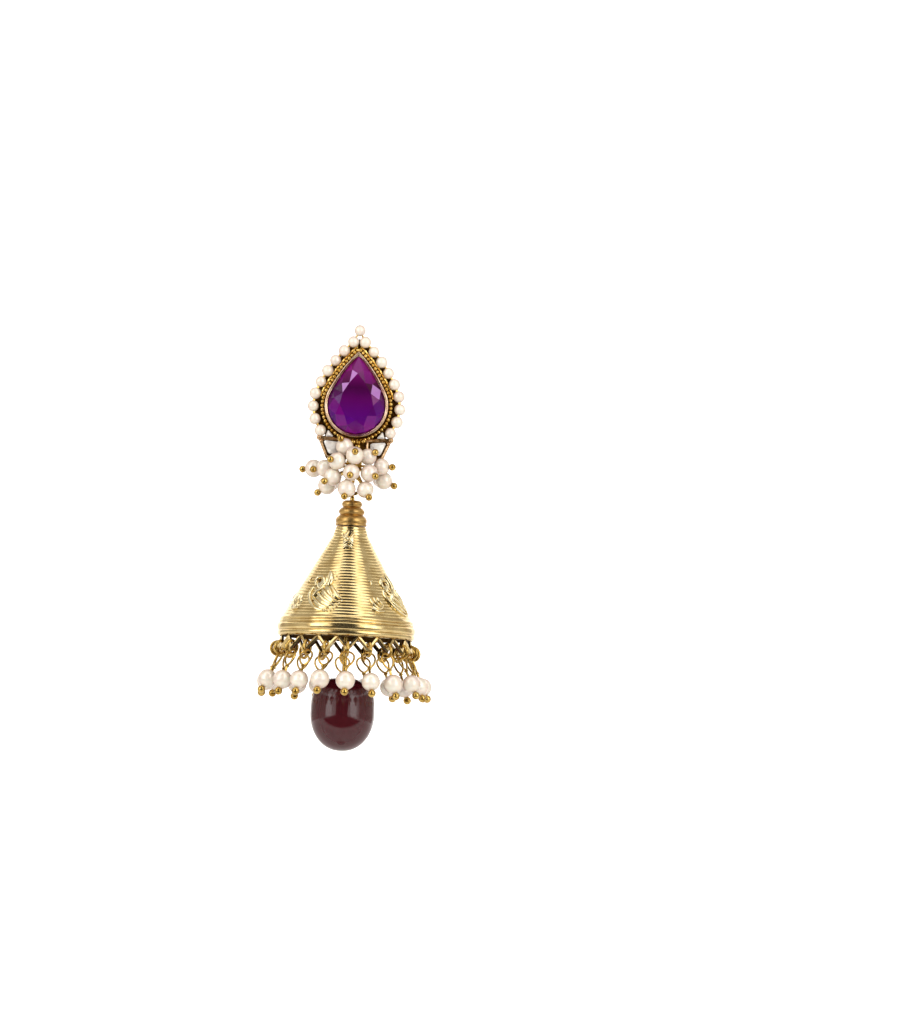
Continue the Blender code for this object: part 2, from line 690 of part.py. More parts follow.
def round_axis(k):
    # Turns a piece from the front of the bell to fringe place k
    centre = Matrix.Translation(HANG)
    return centre @ Matrix.Rotation(fringe_turn(k), 4, "Z")


def fringe_matrix(k):
    # The drop hangs from the ring's foot, splayed out, and no two hang quite alike
    splay = math.radians(FRINGE_SPLAY + FRINGE_SPLAY_SPREAD * math.sin(2.4 * k + 0.5))
    lean = math.radians(FRINGE_LEAN_SPREAD * math.sin(1.7 * k + 1.0))
    hook = Matrix.Translation((0, -GALLERY_FOOT_RADIUS, ring_middle() - RING_RADIUS))
    return round_axis(k) @ hook @ Matrix.Rotation(-splay, 4, "X") @ Matrix.Rotation(lean, 4, "Y")


def drop_bead():
    # A barrel with a rounded foot and a blind bore for its pin
    bore = PIN_RADIUS + GAP
    steps = 11
    stations = [(0, bore + DROP_LIP)]
    for k in range(1, steps):
        t = math.pi * k / steps
        if t < math.pi / 2:
            along = DROP_UPPER * (1 - math.cos(t) ** DROP_SHOULDER)
            stations.append((along, DROP_RADIUS * math.sin(t) ** DROP_SHOULDER))
        else:
            stations.append((DROP_UPPER - DROP_LOWER * math.cos(t), DROP_RADIUS * math.sin(t) ** DROP_FOOT))
    stations.append((DROP_UPPER + DROP_LOWER, DROP_FOOT_RADIUS))
    solid = beads_on_pin(Vector((0, HANG_Y, DROP_TOP_Z)), Vector((0, 0, -1)), stations, TURNED_SEGMENTS)
    hole = beads_on_pin(
        Vector((0, HANG_Y, DROP_TOP_Z + DROP_LIP)), Vector((0, 0, -1)), [(0, bore), (DROP_BORE_DEPTH + DROP_LIP, bore)], 8)
    return cut(solid, hole)


def drop_pin():
    top = DROP_EYE_Z - EYE_RADIUS
    end = DROP_TOP_Z - DROP_BORE_DEPTH + GAP
    eye = torus(Vector((0, HANG_Y, DROP_EYE_Z)), Vector((1, 0, 0)), EYE_RADIUS, WIRE_RADIUS, EYE_STEPS)
    shaft = beads_on_pin(Vector((0, HANG_Y, top)), Vector((0, 0, -1)), [(0, PIN_RADIUS), (top - end, PIN_RADIUS)], 8)
    return union(shaft, eye)


def drop_ring():
    return torus(Vector((0, HANG_Y, DROP_RING_Z)), Vector((0, 1, 0)), DROP_RING_RADIUS, WIRE_RADIUS, 12)


def build():
    gold = material("antique gold", (0.62, 0.42, 0.16), 0.38, 1.0)
    bright = material("bright gold", (0.80, 0.68, 0.36), 0.18, 1.0)
    pearl = material("pearl", (0.90, 0.85, 0.80), 0.25, 0.0)
    shell = material("white shell", (0.86, 0.84, 0.80), 0.20, 0.0)
    purple = material("purple stone", (0.22, 0.01, 0.26), 0.08, 0.0)
    maroon = material("maroon glass", (0.10, 0.01, 0.02), 0.08, 0.0)
    steel = material("post wire", (0.62, 0.50, 0.28), 0.30, 1.0)

    link_joint = pivot("link_joint", (0, HANG_Y, LOOP_FOOT_Z))
    bell_joint = pivot("bell_joint", (0, HANG_Y, LINK_FOOT_Z))
    ring_joint = pivot("ring_joint", (0, HANG_Y, INNER_EYE_FOOT_Z))
    drop_joint = pivot("drop_joint", (0, HANG_Y, DROP_RING_Z - DROP_RING_RADIUS))

    add_object("setting_plate", setting_plate(), gold)
    add_object("pear_stone", pear_stone(), purple)
    add_object("edge_pearls", edge_pearls(), pearl)
    for side, word in ((-1, "left"), (1, "right")):
        add_object("corner_stone_" + word, shell_stone(side, CORNER_STONE), shell)
        add_object("petal_stone_" + word, shell_stone(side, PETAL_STONE), shell)
    add_object("pearl_cluster", cluster_pins(), pearl)
    add_object("ear_post", ear_post(), steel)
    add_object("link", link(), gold, parent=link_joint)
    add_object("bell_pin", bell_pin(), gold, parent=bell_joint)
    add_object("cap", cap(), gold, parent=bell_joint)
    add_object("bell", bell(), bright, parent=bell_joint)
    ring_mesh = jump_ring()
    drop_mesh = fringe_drop()
    for k in range(FRINGE_COUNT):
        number = f"{k + 1:02d}"
        add_object("jump_ring_" + number, ring_mesh, gold, round_axis(k), bell_joint)
        add_object("fringe_drop_" + number, drop_mesh, pearl, fringe_matrix(k), bell_joint)
    add_object("drop_ring", drop_ring(), gold, parent=ring_joint)
    add_object("drop_pin", drop_pin(), gold, parent=drop_joint)
    add_object("drop_bead", drop_bead(), maroon, parent=drop_joint)


for old in list(bpy.data.objects):
    bpy.data.objects.remove(old)
build()
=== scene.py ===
# A bell-shaped drop earring hanging in a white studio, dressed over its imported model.
# Lengths in the tables are millimetres. The front faces -Y, +Z is up, the post's foot is the origin.
import math

import bmesh
import bpy
import numpy as np
from mathutils import Matrix, Vector


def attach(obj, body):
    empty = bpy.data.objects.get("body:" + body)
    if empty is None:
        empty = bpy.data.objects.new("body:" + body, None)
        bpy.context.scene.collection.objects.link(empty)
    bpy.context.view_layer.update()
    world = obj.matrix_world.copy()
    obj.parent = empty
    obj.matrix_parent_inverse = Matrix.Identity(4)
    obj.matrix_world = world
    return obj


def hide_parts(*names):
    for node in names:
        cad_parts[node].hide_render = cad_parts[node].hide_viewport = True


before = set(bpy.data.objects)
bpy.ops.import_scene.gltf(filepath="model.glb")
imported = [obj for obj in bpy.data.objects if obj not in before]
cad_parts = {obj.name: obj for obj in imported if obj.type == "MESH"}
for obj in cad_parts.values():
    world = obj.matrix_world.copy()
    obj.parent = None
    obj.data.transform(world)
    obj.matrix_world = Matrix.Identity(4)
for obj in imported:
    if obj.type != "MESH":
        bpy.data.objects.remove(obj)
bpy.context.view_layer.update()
mm = 0.001
hangY = -0.6

print("helpers")


def linear(code):
    # An sRGB hex colour as linear red, green and blue
    values = [int(code[k:k + 2], 16) / 255 for k in (1, 3, 5)]
    return tuple(v / 12.92 if v <= 0.04045 else ((v + 0.055) / 1.055) ** 2.4 for v in values)


def gridFaces(rows, columns, closeRows, closeColumns):
    # Four-sided faces over a grid of points, joined round where the grid closes
    r = np.arange(rows if closeRows else rows - 1)[:, None]
    c = np.arange(columns if closeColumns else columns - 1)[None, :]
    below = (r + 1) % rows
    after = (c + 1) % columns
    corners = (r * columns + c, r * columns + after, below * columns + after, below * columns + c)
    return np.stack([a + 0 * r + 0 * c for a in corners], axis=-1).reshape(-1, 4)


def surface(grid, closeRows=False, closeColumns=True, caps=True):
    # A grid of points as one closed surface: its first and last rows are filled where they are left open
    rows, columns = grid.shape[:2]
    faces = [list(f) for f in gridFaces(rows, columns, closeRows, closeColumns)]
    if caps and not closeRows:
        faces.append(list(range(columns))[::-1])
        faces.append(list(range((rows - 1) * columns, rows * columns)))
    return grid.reshape(-1, 3), faces


def wire(path, radius, normal, sides=10, closed=False):
    # A round wire along a path that lies in a plane: circles across the path, on the plane's normal
    path = np.asarray(path, float)
    radius = np.broadcast_to(np.asarray(radius, float), len(path))
    if closed:
        along = np.roll(path, -1, 0) - np.roll(path, 1, 0)
    else:
        along = np.gradient(path, axis=0)
    along /= np.linalg.norm(along, axis=1)[:, None]
    normal = np.asarray(normal, float)
    across = np.cross(along, normal)
    across /= np.linalg.norm(across, axis=1)[:, None]
    t = np.linspace(0, 2 * np.pi, sides, endpoint=False)
    ring = np.cos(t)[None, :, None] * across[:, None] + np.sin(t)[None, :, None] * normal
    return surface(path[:, None] + radius[:, None, None] * ring, closeRows=closed)


def spun(stations, sides=24, start=(0, 0, 0), axis=(0, 0, -1)):
    # A turned solid: pairs of distance along the axis and radius
    axis = np.asarray(axis, float)
    axis /= np.linalg.norm(axis)
    helper = np.array((0.0, 1.0, 0.0)) if abs(axis[1]) < 0.9 else np.array((1.0, 0.0, 0.0))
    side = np.cross(axis, helper)
    side /= np.linalg.norm(side)
    up = np.cross(axis, side)
    t = np.linspace(0, 2 * np.pi, sides, endpoint=False)
    ring = np.cos(t)[:, None] * side + np.sin(t)[:, None] * up
    table = np.asarray(stations, float)
    grid = np.asarray(start) + table[:, 0, None, None] * axis + table[:, 1, None, None] * ring
    return surface(grid)


def ball(centre, radius, sides=20, rows=12, axis=(0, 0, -1), squash=1.0):
    # A ball turned about its axis: cosine along, sine across
    t = np.linspace(0.16, np.pi - 0.16, rows)
    table = np.stack([-radius * squash * np.cos(t), radius * np.sin(t)], axis=-1)
    return spun(table, sides, centre, axis)


def moved(part, matrix):
    # The same surface, carried by a matrix
    points, faces = part
    m = np.array(matrix)
    return points @ m[:3, :3].T + m[:3, 3], faces


def hoop(centre, radius, thickness, normal, steps=28, sides=10):
    # A closed ring of round wire
    normal = np.asarray(normal, float)
    helper = np.array((0.0, 0.0, 1.0)) if abs(normal[2]) < 0.9 else np.array((1.0, 0.0, 0.0))
    side = np.cross(normal, helper)
    side /= np.linalg.norm(side)
    up = np.cross(side, normal)
    t = np.linspace(0, 2 * np.pi, steps, endpoint=False)[:, None]
    path = np.asarray(centre) + radius * (np.cos(t) * side + np.sin(t) * up)
    return wire(path, thickness, normal, sides, closed=True)


def makePiece(name, parts, finish, body, nodes=(), crease=40):
    # Joins surfaces given in millimetres into one object, which rides on a body in place of the nodes
    points = []
    faces = []
    start = 0
    for partPoints, partFaces in parts:
        points.append(partPoints)
        faces += [[index + start for index in face] for face in partFaces]
        start += len(partPoints)
    mesh = bpy.data.meshes.new(name)
    mesh.from_pydata((np.concatenate(points) * mm).tolist(), [], faces)
    shape = bmesh.new()
    shape.from_mesh(mesh)
    bmesh.ops.recalc_face_normals(shape, faces=shape.faces)
    shape.to_mesh(mesh)
    shape.free()
    mesh.materials.append(finish)
    mesh.shade_smooth()
    mesh.set_sharp_from_angle(angle=math.radians(crease))
    obj = bpy.data.objects.new(name, mesh)
    bpy.context.collection.objects.link(obj)
    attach(obj, body)
    if nodes:
        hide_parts(*nodes)
    return obj


def faceTable(obj):
    # Every face's middle, in millimetres, and its normal
    tables = []
    for word, unit in (("center", mm), ("normal", 1)):
        values = np.empty(3 * len(obj.data.polygons))
        obj.data.polygons.foreach_get(word, values)
        tables.append(values.reshape(-1, 3) / unit)
    return tables


def dress(obj, finish, chosen):
    # A second finish on the chosen faces
    obj.data.materials.append(finish)
    obj.data.polygons.foreach_set("material_index", chosen.astype(np.int32))


print("materials")


def addNode(tree, kind, settings=None, **links):
    # One shader node: settings by attribute, socket name or a ramp's stops, inputs from others' sockets
    node = tree.nodes.new(kind)
    for key, value in (settings or {}).items():
        if key == "stops":
            elements = node.color_ramp.elements
            while len(elements) < len(value):
                elements.new(0.5)
            for element, (place, code) in zip(elements, value):
                element.position = place
                element.color = (*linear(code), 1)
        elif hasattr(node, key):
            setattr(node, key, value)
        else:
            node.inputs[key].default_value = value
    for key, source in links.items():
        tree.links.new(source, node.inputs[key.replace("_", " ")])
    return node


def makeMaterial(name, colour, roughness, **settings):
    # A Principled finish; the settings are its sockets' names, with _ for a space
    made = bpy.data.materials.new(name)
    made.use_nodes = True
    shader = made.node_tree.nodes["Principled BSDF"]
    shader.inputs["Base Color"].default_value = (*linear(colour), 1)
    shader.inputs["Roughness"].default_value = roughness
    for key, value in settings.items():
        shader.inputs[key.replace("_", " ")].default_value = value
    return made, made.node_tree, shader


def metal(name, dark, light, roughness, spots, grain=0.0):
    # Plated metal: two tones that drift, this many spots a millimetre, and a fine cast grain
    made, tree, shader = makeMaterial(name, light, roughness, Metallic=1.0)
    place = addNode(tree, "ShaderNodeTexCoord").outputs["Object"]
    drift = addNode(tree, "ShaderNodeTexNoise", {"Scale": spots / mm, "Detail": 2.0}, Vector=place)
    stops = ((0.35, dark), (0.6, light))
    tone = addNode(tree, "ShaderNodeValToRGB", {"stops": stops}, Fac=drift.outputs[0])
    tree.links.new(tone.outputs[0], shader.inputs["Base Color"])
    if grain:
        # Six pits a millimetre, 0.05 mm deep
        pits = addNode(tree, "ShaderNodeTexNoise", {"Scale": 6 / mm, "Detail": 1.0}, Vector=place)
        depth = {"Strength": grain, "Distance": 0.05 * mm}
        bump = addNode(tree, "ShaderNodeBump", depth, Height=pits.outputs[0])
        tree.links.new(bump.outputs[0], shader.inputs["Normal"])
    return made


# Gives the wires, granules and rings their brown-gold, slightly worn look
antiqueGold = metal("antique gold plate, tumbled", "#A07A34", "#DAB768", 0.24, 1.4)
# Nearly black-brown brass, a painted shade: the plate where it shows between granules and pearls, and the
# shaded recesses on the bell
paintedShadeBrass = metal("dark brass, painted shade", "#3A240C", "#6A4618", 0.45, 1.6)
# Pale, bright skin of the cast bell, which mirrors the softboxes
brightGold = metal("pale gold plate, polished casting", "#CFB277", "#E4CB92", 0.16, 0.5)
# The raised work, paler than the ribs as a painted highlight
reliefHighlightGold = metal("pale gold plate, painted highlight", "#E2CC98", "#F6E8BE", 0.12, 0.9)
# The inside of the casting, darkened brass as a painted shade
innerShadeBrass = metal("dark brass, painted shade inside", "#2E1E0C", "#5E4420", 0.5, 0.9)
# Soft broad sheen on the cap's tiers
matteGold = metal("antique gold plate, satin", "#AE8648", "#C9A465", 0.34, 0.9, 0.25)
# Bright yellow strand of granules round the stone
grainGold = metal("yellow gold plate, granulated", "#C0923A", "#F0D07C", 0.22, 1.8)
# Rosy, rubbed wires of the fan
roseGold = metal("rose gold plate, rubbed", "#97703F", "#D8B48A", 0.27, 1.3)
# Thin rose-tinted edge round the stone
paleGold = metal("rose gold plate, burnished", "#D9B48C", "#F2D6B4", 0.20, 0.9)

# Near white to the front and darker tan towards the edge as a painted shade, cloudy from pearl to pearl,
# under a sharp gloss
pearlCoat, tree, shader = makeMaterial(
    "cultured pearl, polished", "#F4EAE0", 0.34, Coat_Weight=1.0, Coat_Roughness=0.08, Coat_IOR=2.0,
    Subsurface_Weight=0.10, Subsurface_Scale=0.0008)
# The colour darkens towards the edge as seen, a painted shade
facing = addNode(tree, "ShaderNodeLayerWeight", {"Blend": 0.45}).outputs["Facing"]
stops = ((0.0, "#E4DFD7"), (0.3, "#DBD0C4"), (1.0, "#B8937A"))
rim = addNode(tree, "ShaderNodeValToRGB", {"stops": stops}, Fac=facing)
place = addNode(tree, "ShaderNodeTexCoord").outputs["Object"]
# A cloud every 2.4 mm, about one a pearl
drift = addNode(tree, "ShaderNodeTexNoise", {"Scale": 0.42 / mm}, Vector=place)
stops = ((0.38, "#FFFFF8"), (0.52, "#FEF8F0"), (0.66, "#F5ECE8"))
cloud = addNode(tree, "ShaderNodeValToRGB", {"stops": stops}, Fac=drift.outputs[0])
tint = addNode(tree, "ShaderNodeMix", {"data_type": "RGBA", "blend_type": "MULTIPLY"})
tint.inputs[0].default_value = 1.0
tree.links.new(rim.outputs[0], tint.inputs[6])
tree.links.new(cloud.outputs[0], tint.inputs[7])
tree.links.new(tint.outputs[2], shader.inputs["Base Color"])

# White shell that glints softly where it is bevelled, in flecks of about 1.4 mm
whiteShell, tree, shader = makeMaterial("mother of pearl, cut", "#DDDAD4", 0.20, Coat_Weight=0.6)
place = addNode(tree, "ShaderNodeTexCoord").outputs["Object"]
drift = addNode(tree, "ShaderNodeTexNoise", {"Scale": 0.7 / mm}, Vector=place)
stops = ((0.4, "#E2DFD9"), (0.6, "#C2BBB6"))
fleck = addNode(tree, "ShaderNodeValToRGB", {"stops": stops}, Fac=drift.outputs[0])
tree.links.new(fleck.outputs[0], shader.inputs["Base Color"])

# Violet under a hard polish; its tones, with painted reflections and shade, follow beside the stone
purpleGlass = makeMaterial(
    "purple glass, foil-backed", "#66056A", 0.03, IOR=1.46, Specular_IOR_Level=0.28)[0]

# Dark maroon glass, nearly even all round
maroonGlass = makeMaterial("maroon glass, moulded", "#3E0B13", 0.11, IOR=1.52)[0]


print("stud")

# The stone's outline: a round end and two flank arcs that cross at the tip
pear = {"round": 5.0, "tip": 8.7, "flank": 25.0, "centreZ": -1.1}
stud = {
    "plate": 0.8, "plateMargin": 1.35, "bezelHeight": 2.1, "air": 0.3,
    "granule": 0.34, "granuleMargin": 1.08, "granules": 62,
    "edgeWire": 0.2, "edgeWireMargin": 1.6, "edgeWireRun": 11.5,
    "pearl": 1.02, "pearlPitch": 2.29, "pearlsASide": 9, "pearlWire": 0.25,
}
fan = {
    "z": -7.0, "halfWidth": 6.5, "footHalfWidth": 5.0, "height": 3.5, "rim": 0.24,
    "bar": 0.26, "barStart": 1.7, "barRun": 4.75, "barSag": 0.45,
}


def pearSpans(margin):
    # The flank arc's centre, radius and end angles, and the round end's radius, this far outside the stone
    tip, r, big = pear["tip"], pear["round"], pear["flank"]
    z = (tip * tip + r * r - 2 * big * r) / (2 * tip)
    x = -math.sqrt((big - r) ** 2 - z * z)
    big += margin
    return x, z, big, math.acos(-x / big), math.atan2(-z, -x), r + margin


def pearHalf(margin):
    # Half the outline's length: radius times angle, for the flank arc and the quarter round
    x, z, big, start, join, r = pearSpans(margin)
    return big * (start - join) + r * (join + math.pi / 2)


def pearPoints(margin, along):
    # Points this far from the tip along the outline, right side positive: flank arc, then round end
    along = np.asarray(along, float)
    x, z, big, start, join, r = pearSpans(margin)
    side = np.where(along < 0, -1.0, 1.0)
    flank = big * (start - join)
    t = np.where(np.abs(along) < flank, start - np.abs(along) / big, join - (np.abs(along) - flank) / r)
    onFlank = np.abs(along) < flank
    px = np.where(onFlank, x + big * np.cos(t), r * np.cos(t))
    pz = np.where(onFlank, z + big * np.sin(t), r * np.sin(t))
    return np.stack([side * px, pear["centreZ"] + pz], axis=-1)


def pearOutline(margin, count):
    # Even steps once round the outline, from the foot
    half = pearHalf(margin)
    return pearPoints(margin, -half + 2 * half * np.arange(count) / count)


def pearLoft(levels, count=120, closed=False):
    # Outlines at pairs of margin and depth, joined one to the next
    rows = []
    for margin, y in levels:
        outline = pearOutline(margin, count)
        rows.append(np.stack([outline[:, 0], np.full(count, y), outline[:, 1]], axis=-1))
    return surface(np.array(rows), closeRows=closed)


def fanPoint(side, across, down):
    # Shares of the fan's half width and height as millimetres
    return side * across * fan["halfWidth"], fan["z"] - down * fan["height"]


def slab(outline, levels):
    # A flat piece: its outline at pairs of depth and share, the share drawing it in for a soft edge
    outline = np.array(outline, float)
    middle = outline.mean(axis=0)
    rows = []
    for y, share in levels:
        shape = middle + (outline - middle) * share
        rows.append(np.stack([shape[:, 0], np.full(len(shape), y), shape[:, 1]], axis=-1))
    return surface(np.array(rows))


front = -stud["plate"]
bezelFront = front - stud["bezelHeight"]
fanOutline = [
    (-fan["halfWidth"], fan["z"]), (fan["halfWidth"], fan["z"]),
    (fan["footHalfWidth"], fan["z"] - fan["height"]), (-fan["footHalfWidth"], fan["z"] - fan["height"]),
]
# Two ears of the plate beside the fan's top, under the corner stones
earShares = ((0.55, 0.12), (0.90, 0.12), (0.83, -0.14), (0.75, -0.58), (0.55, -0.50))
margin = stud["plateMargin"]
plateParts = [
    pearLoft([(margin - 0.15, 0), (margin, -0.12), (margin, front + 0.12), (margin - 0.15, front)]),
    slab(fanOutline, ((-0.1, 0.98), (-0.2, 1), (front, 1), (front - 0.1, 0.98))),
]
for side in (-1, 1):
    plateParts.append(slab([fanPoint(side, *s) for s in earShares], ((-0.14, 1), (front - 0.03, 1))))
# A thin rail under the pearls, which shows dark between them as a painted shade
railLevels = ((1.2, -0.06), (2.35, -0.06), (2.45, -0.2), (2.35, -0.34), (1.2, -0.34))
plateParts.append(pearLoft(railLevels, closed=True))
# The plate's front is dark brass, a painted shade where it shows between the stones and pearls
plate = makePiece("stud_plate", plateParts, paintedShadeBrass, "stud", ["setting_plate"])
# The plate's back is plated like the wires
middle, normals = faceTable(plate)
dress(plate, antiqueGold, (normals[:, 1] > 0.5) & (middle[:, 1] > -0.5))

bezelLevels = (
    (0.56, -0.4), (0.58, -2.5), (0.62, -2.7), (0.60, bezelFront - 0.02),
    (0.50, bezelFront - 0.10), (0.38, bezelFront - 0.08), (0.30, bezelFront + 0.04),
    (0.24, bezelFront + 0.06), (0.04, bezelFront + 0.2), (-0.03, -2.6), (0.0, -0.6),
)
makePiece(
    "stone_bezel", [pearLoft(bezelLevels, 160, closed=True)], paleGold, "stud", crease=60)

# Granules side by side along the border, and the beaded wires that meet over the tip
borderParts = []
half = pearHalf(stud["granuleMargin"])
spots = -half + 2 * half * (np.arange(stud["granules"]) + 0.5) / stud["granules"]
for k, (x, z) in enumerate(pearPoints(stud["granuleMargin"], spots)):
    size = stud["granule"] * (1 + 0.06 * math.sin(3.1 * k))
    borderParts.append(ball((x, front - 0.35, z), size, 12, 8))
for side in (-1, 1):
    run = side * np.linspace(0.25, stud["edgeWireRun"], 90)
    flank = pearPoints(stud["edgeWireMargin"], run)
    swell = stud["edgeWire"] * (1 + 0.12 * np.cos(run * 2 * np.pi / 0.75))
    path = np.stack([flank[:, 0], np.full(90, front - 0.05), flank[:, 1]], axis=-1)
    borderParts.append(wire(path, swell, (0, 1, 0), 8))
# The four balls at the foot of the border: across, up and radius
footBalls = ((-0.25, -7.45, 0.42), (0.62, -7.5, 0.42), (1.5, -7.3, 0.42), (0.55, -8.3, 0.55))
for x, z, size in footBalls:
    borderParts.append(ball((x, front - 0.75, z), size, 16, 10))
makePiece("stud_border", borderParts, grainGold, "stud", ["setting_plate"])

# Fan wires: the bar over the petals, a rim round each petal, and balls at the corners
fanParts = []
rimShares = ((0.95, 0.02), (0.74, 0.93), (0.34, 0.86), (0.34, 0.05))
barY = front - 0.28
for side in (-1, 1):
    corners = np.array([fanPoint(side, *s) for s in rimShares])
    path = []
    for k in range(4):
        a, b = corners[k], corners[(k + 1) % 4]
        for share in np.linspace(0.08, 0.92, 8):
            path.append(a + (b - a) * share)
    path = np.array(path)
    path = np.stack([path[:, 0], np.full(len(path), front - 0.2), path[:, 1]], axis=-1)
    fanParts.append(wire(path, fan["rim"], (0, 1, 0), 8, closed=True))
    share = np.linspace(0, 1, 20)
    across = side * (fan["barStart"] + fan["barRun"] * share)
    up = fan["z"] + 0.18 - fan["barSag"] * (1 - share) ** 2
    fanParts.append(wire(np.stack([across, np.full(20, barY), up], axis=-1), fan["bar"], (0, 1, 0), 8))
    # A large ball on the corner and a small one just under it
    fanParts.append(ball((side * 6.35, barY, fan["z"] + 0.12), 0.46, 16, 10))
    fanParts.append(ball((side * 5.95, barY - 0.05, fan["z"] - 0.55), 0.34, 14, 8))
makePiece("fan_wires", fanParts, roseGold, "stud", ["setting_plate"])

# The loops and rings that hang in each other, from the stem down to the drop: height and radius
hangers = {
    "stemLoop": (-13.6, 0.9), "link": (-15.1, 1.5), "bellEye": (-16.45, 0.75),
    "innerEye": (-24.55, 0.75), "dropRing": (-25.8, 1.4), "dropEye": (-27.05, 0.75),
}
hangerWire = 0.3


def hanger(word, normal, steps=28):
    # One ring of the table, on the hanging axis
    z, radius = hangers[word]
    return hoop((0, hangY, z), radius, hangerWire, normal, steps)


stem = {"radius": 0.5, "length": 2.5, "rise": 0.3}
stemTop = (0, hangY, fan["z"] - fan["height"] + stem["rise"])
stemParts = [
    spun([(0, stem["radius"]), (stem["length"], stem["radius"])], 20, stemTop),
    hanger("stemLoop", (1, 0, 0)),
]
makePiece("stem_loop", stemParts, antiqueGold, "stud", ["setting_plate"])

print("stones")


def faceted(name, outlineCount, tableShare, middleShare, crown):
    # The pear stone: table, star, kite and girdle facets, each one flat
    outline = pearOutline(0, outlineCount)
    middle = np.array((0.0, pear["centreZ"] + 0.9))
    girdle = bezelFront + 0.15
    table = (middle + (outline - middle) * tableShare)[::2]
    kite = (middle + (outline - middle) * middleShare)[1::2]
    edge = outline
    half = outlineCount // 2
    lift = [(table, girdle - crown), (kite, girdle - crown * 0.58), (edge, girdle), (edge, girdle + 0.3)]
    lift.append((middle + (edge - middle) * 0.56, girdle + 1.8))
    points = np.concatenate([np.stack([p[:, 0], np.full(len(p), y), p[:, 1]], axis=-1) for p, y in lift])
    k0, e0 = half, 2 * half
    u0, b0 = e0 + outlineCount, e0 + 2 * outlineCount
    faces = [list(range(half))]
    for k in range(half):
        after = (k + 1) % half
        before = (k - 1) % half
        faces.append([k, k0 + k, after])
        faces.append([k, k0 + before, e0 + 2 * k, k0 + k])
        faces.append([k0 + k, e0 + 2 * k, e0 + 2 * k + 1])
        faces.append([k0 + k, e0 + 2 * k + 1, e0 + (2 * k + 2) % outlineCount])
    for k in range(outlineCount):
        after = (k + 1) % outlineCount
        faces.append([e0 + k, e0 + after, u0 + after, u0 + k])
        faces.append([u0 + k, u0 + after, b0 + after, b0 + k])
    faces.append(list(range(b0, b0 + outlineCount))[::-1])
    return makePiece(
        name, [(points, faces)], purpleGlass, "stud", ["pear_stone"], crease=1)


stone = faceted("purple_stone", 20, 0.60, 0.82, 1.5)

# Every facet shows its own patch of the foil over the body's tones, a painted reflection of the foil; alpha
# is the patch's share
foil = stone.data.attributes.new("foil", "FLOAT_COLOR", "FACE")
tones = [linear(code) for code in ("#2E0428", "#58065C", "#760A68", "#3E0646", "#6C1072", "#420660")]
glintTone = linear("#A873B4")
patchShare, glintShare = 0.38, 0.85
# Three crown facets are painted pale lilac kites, a painted reflection of the window
crown = [f for f in stone.data.polygons if f.center.y / mm < bezelFront and len(f.vertices) < 5]
glints = []
for x, z in ((-0.9, 4.6), (-2.4, 1.3), (2.4, 1.0)):
    glints.append(min(crown, key=lambda f: math.hypot(f.center.x / mm - x, f.center.z / mm - z)).index)
colours = []
for polygon in stone.data.polygons:
    x, z = polygon.center.x / mm, polygon.center.z / mm
    pick = int(abs(7.3 * math.sin(1.9 * x + 0.7) + 5.1 * math.cos(1.3 * z))) % len(tones)
    if polygon.index in glints:
        colours += [*glintTone, glintShare]
    else:
        colours += [*tones[pick], patchShare]
foil.data.foreach_set("color", colours)
tree = purpleGlass.node_tree
place = addNode(tree, "ShaderNodeTexCoord").outputs["Object"]
parts = addNode(tree, "ShaderNodeSeparateXYZ", Vector=place)
span = {"From Min": -0.006, "From Max": 0.005, "To Min": 0.0, "To Max": 1.0}
height = addNode(tree, "ShaderNodeMapRange", span, Value=parts.outputs["Z"]).outputs[0]
# From the foot up: magenta, violet, plum, nearly black, and magenta again at the tip, a painted light and
# shade through the stone
shadeAndLightStops = ((0.0, "#740C70"), (0.22, "#4E046E"), (0.52, "#500250"), (0.72, "#320220"), (1.0, "#6E085C"))
body = addNode(tree, "ShaderNodeValToRGB", {"stops": shadeAndLightStops}, Fac=height)
patch = addNode(tree, "ShaderNodeAttribute", {"attribute_name": "foil"})
mix = addNode(tree, "ShaderNodeMix", {"data_type": "RGBA"})
tree.links.new(patch.outputs["Alpha"], mix.inputs[0])
tree.links.new(body.outputs[0], mix.inputs[6])
tree.links.new(patch.outputs["Color"], mix.inputs[7])
tree.links.new(mix.outputs[2], tree.nodes["Principled BSDF"].inputs["Base Color"])

# Shell stones: a cut-cornered outline that rises to a slanting ridge
shellShares = {
    "corner": ((0.74, -0.44), (0.58, -0.09), (0.81, -0.09)),
    "petal": ((0.86, 0.10), (0.70, 0.78), (0.44, 0.72), (0.42, 0.17)),
}
for word, shares in shellShares.items():
    for side, hand in ((-1, "left"), (1, "right")):
        corners = np.array([fanPoint(side, *s) for s in shares])
        outline = []
        for k in range(len(corners)):
            for near in (corners[k - 1], corners[(k + 1) % len(corners)]):
                outline.append(corners[k] + (near - corners[k]) * 0.12)
        back = front - 0.4
        levels = ((back, 0.96), (back - 0.1, 1), (back - 0.4, 1), (back - 0.9, 0.42))
        makePiece(
            word + "_shell_" + hand, [slab(outline, levels)], whiteShell, "stud",
            [word + "_stone_" + hand], crease=20)

print("pearls on the edge")

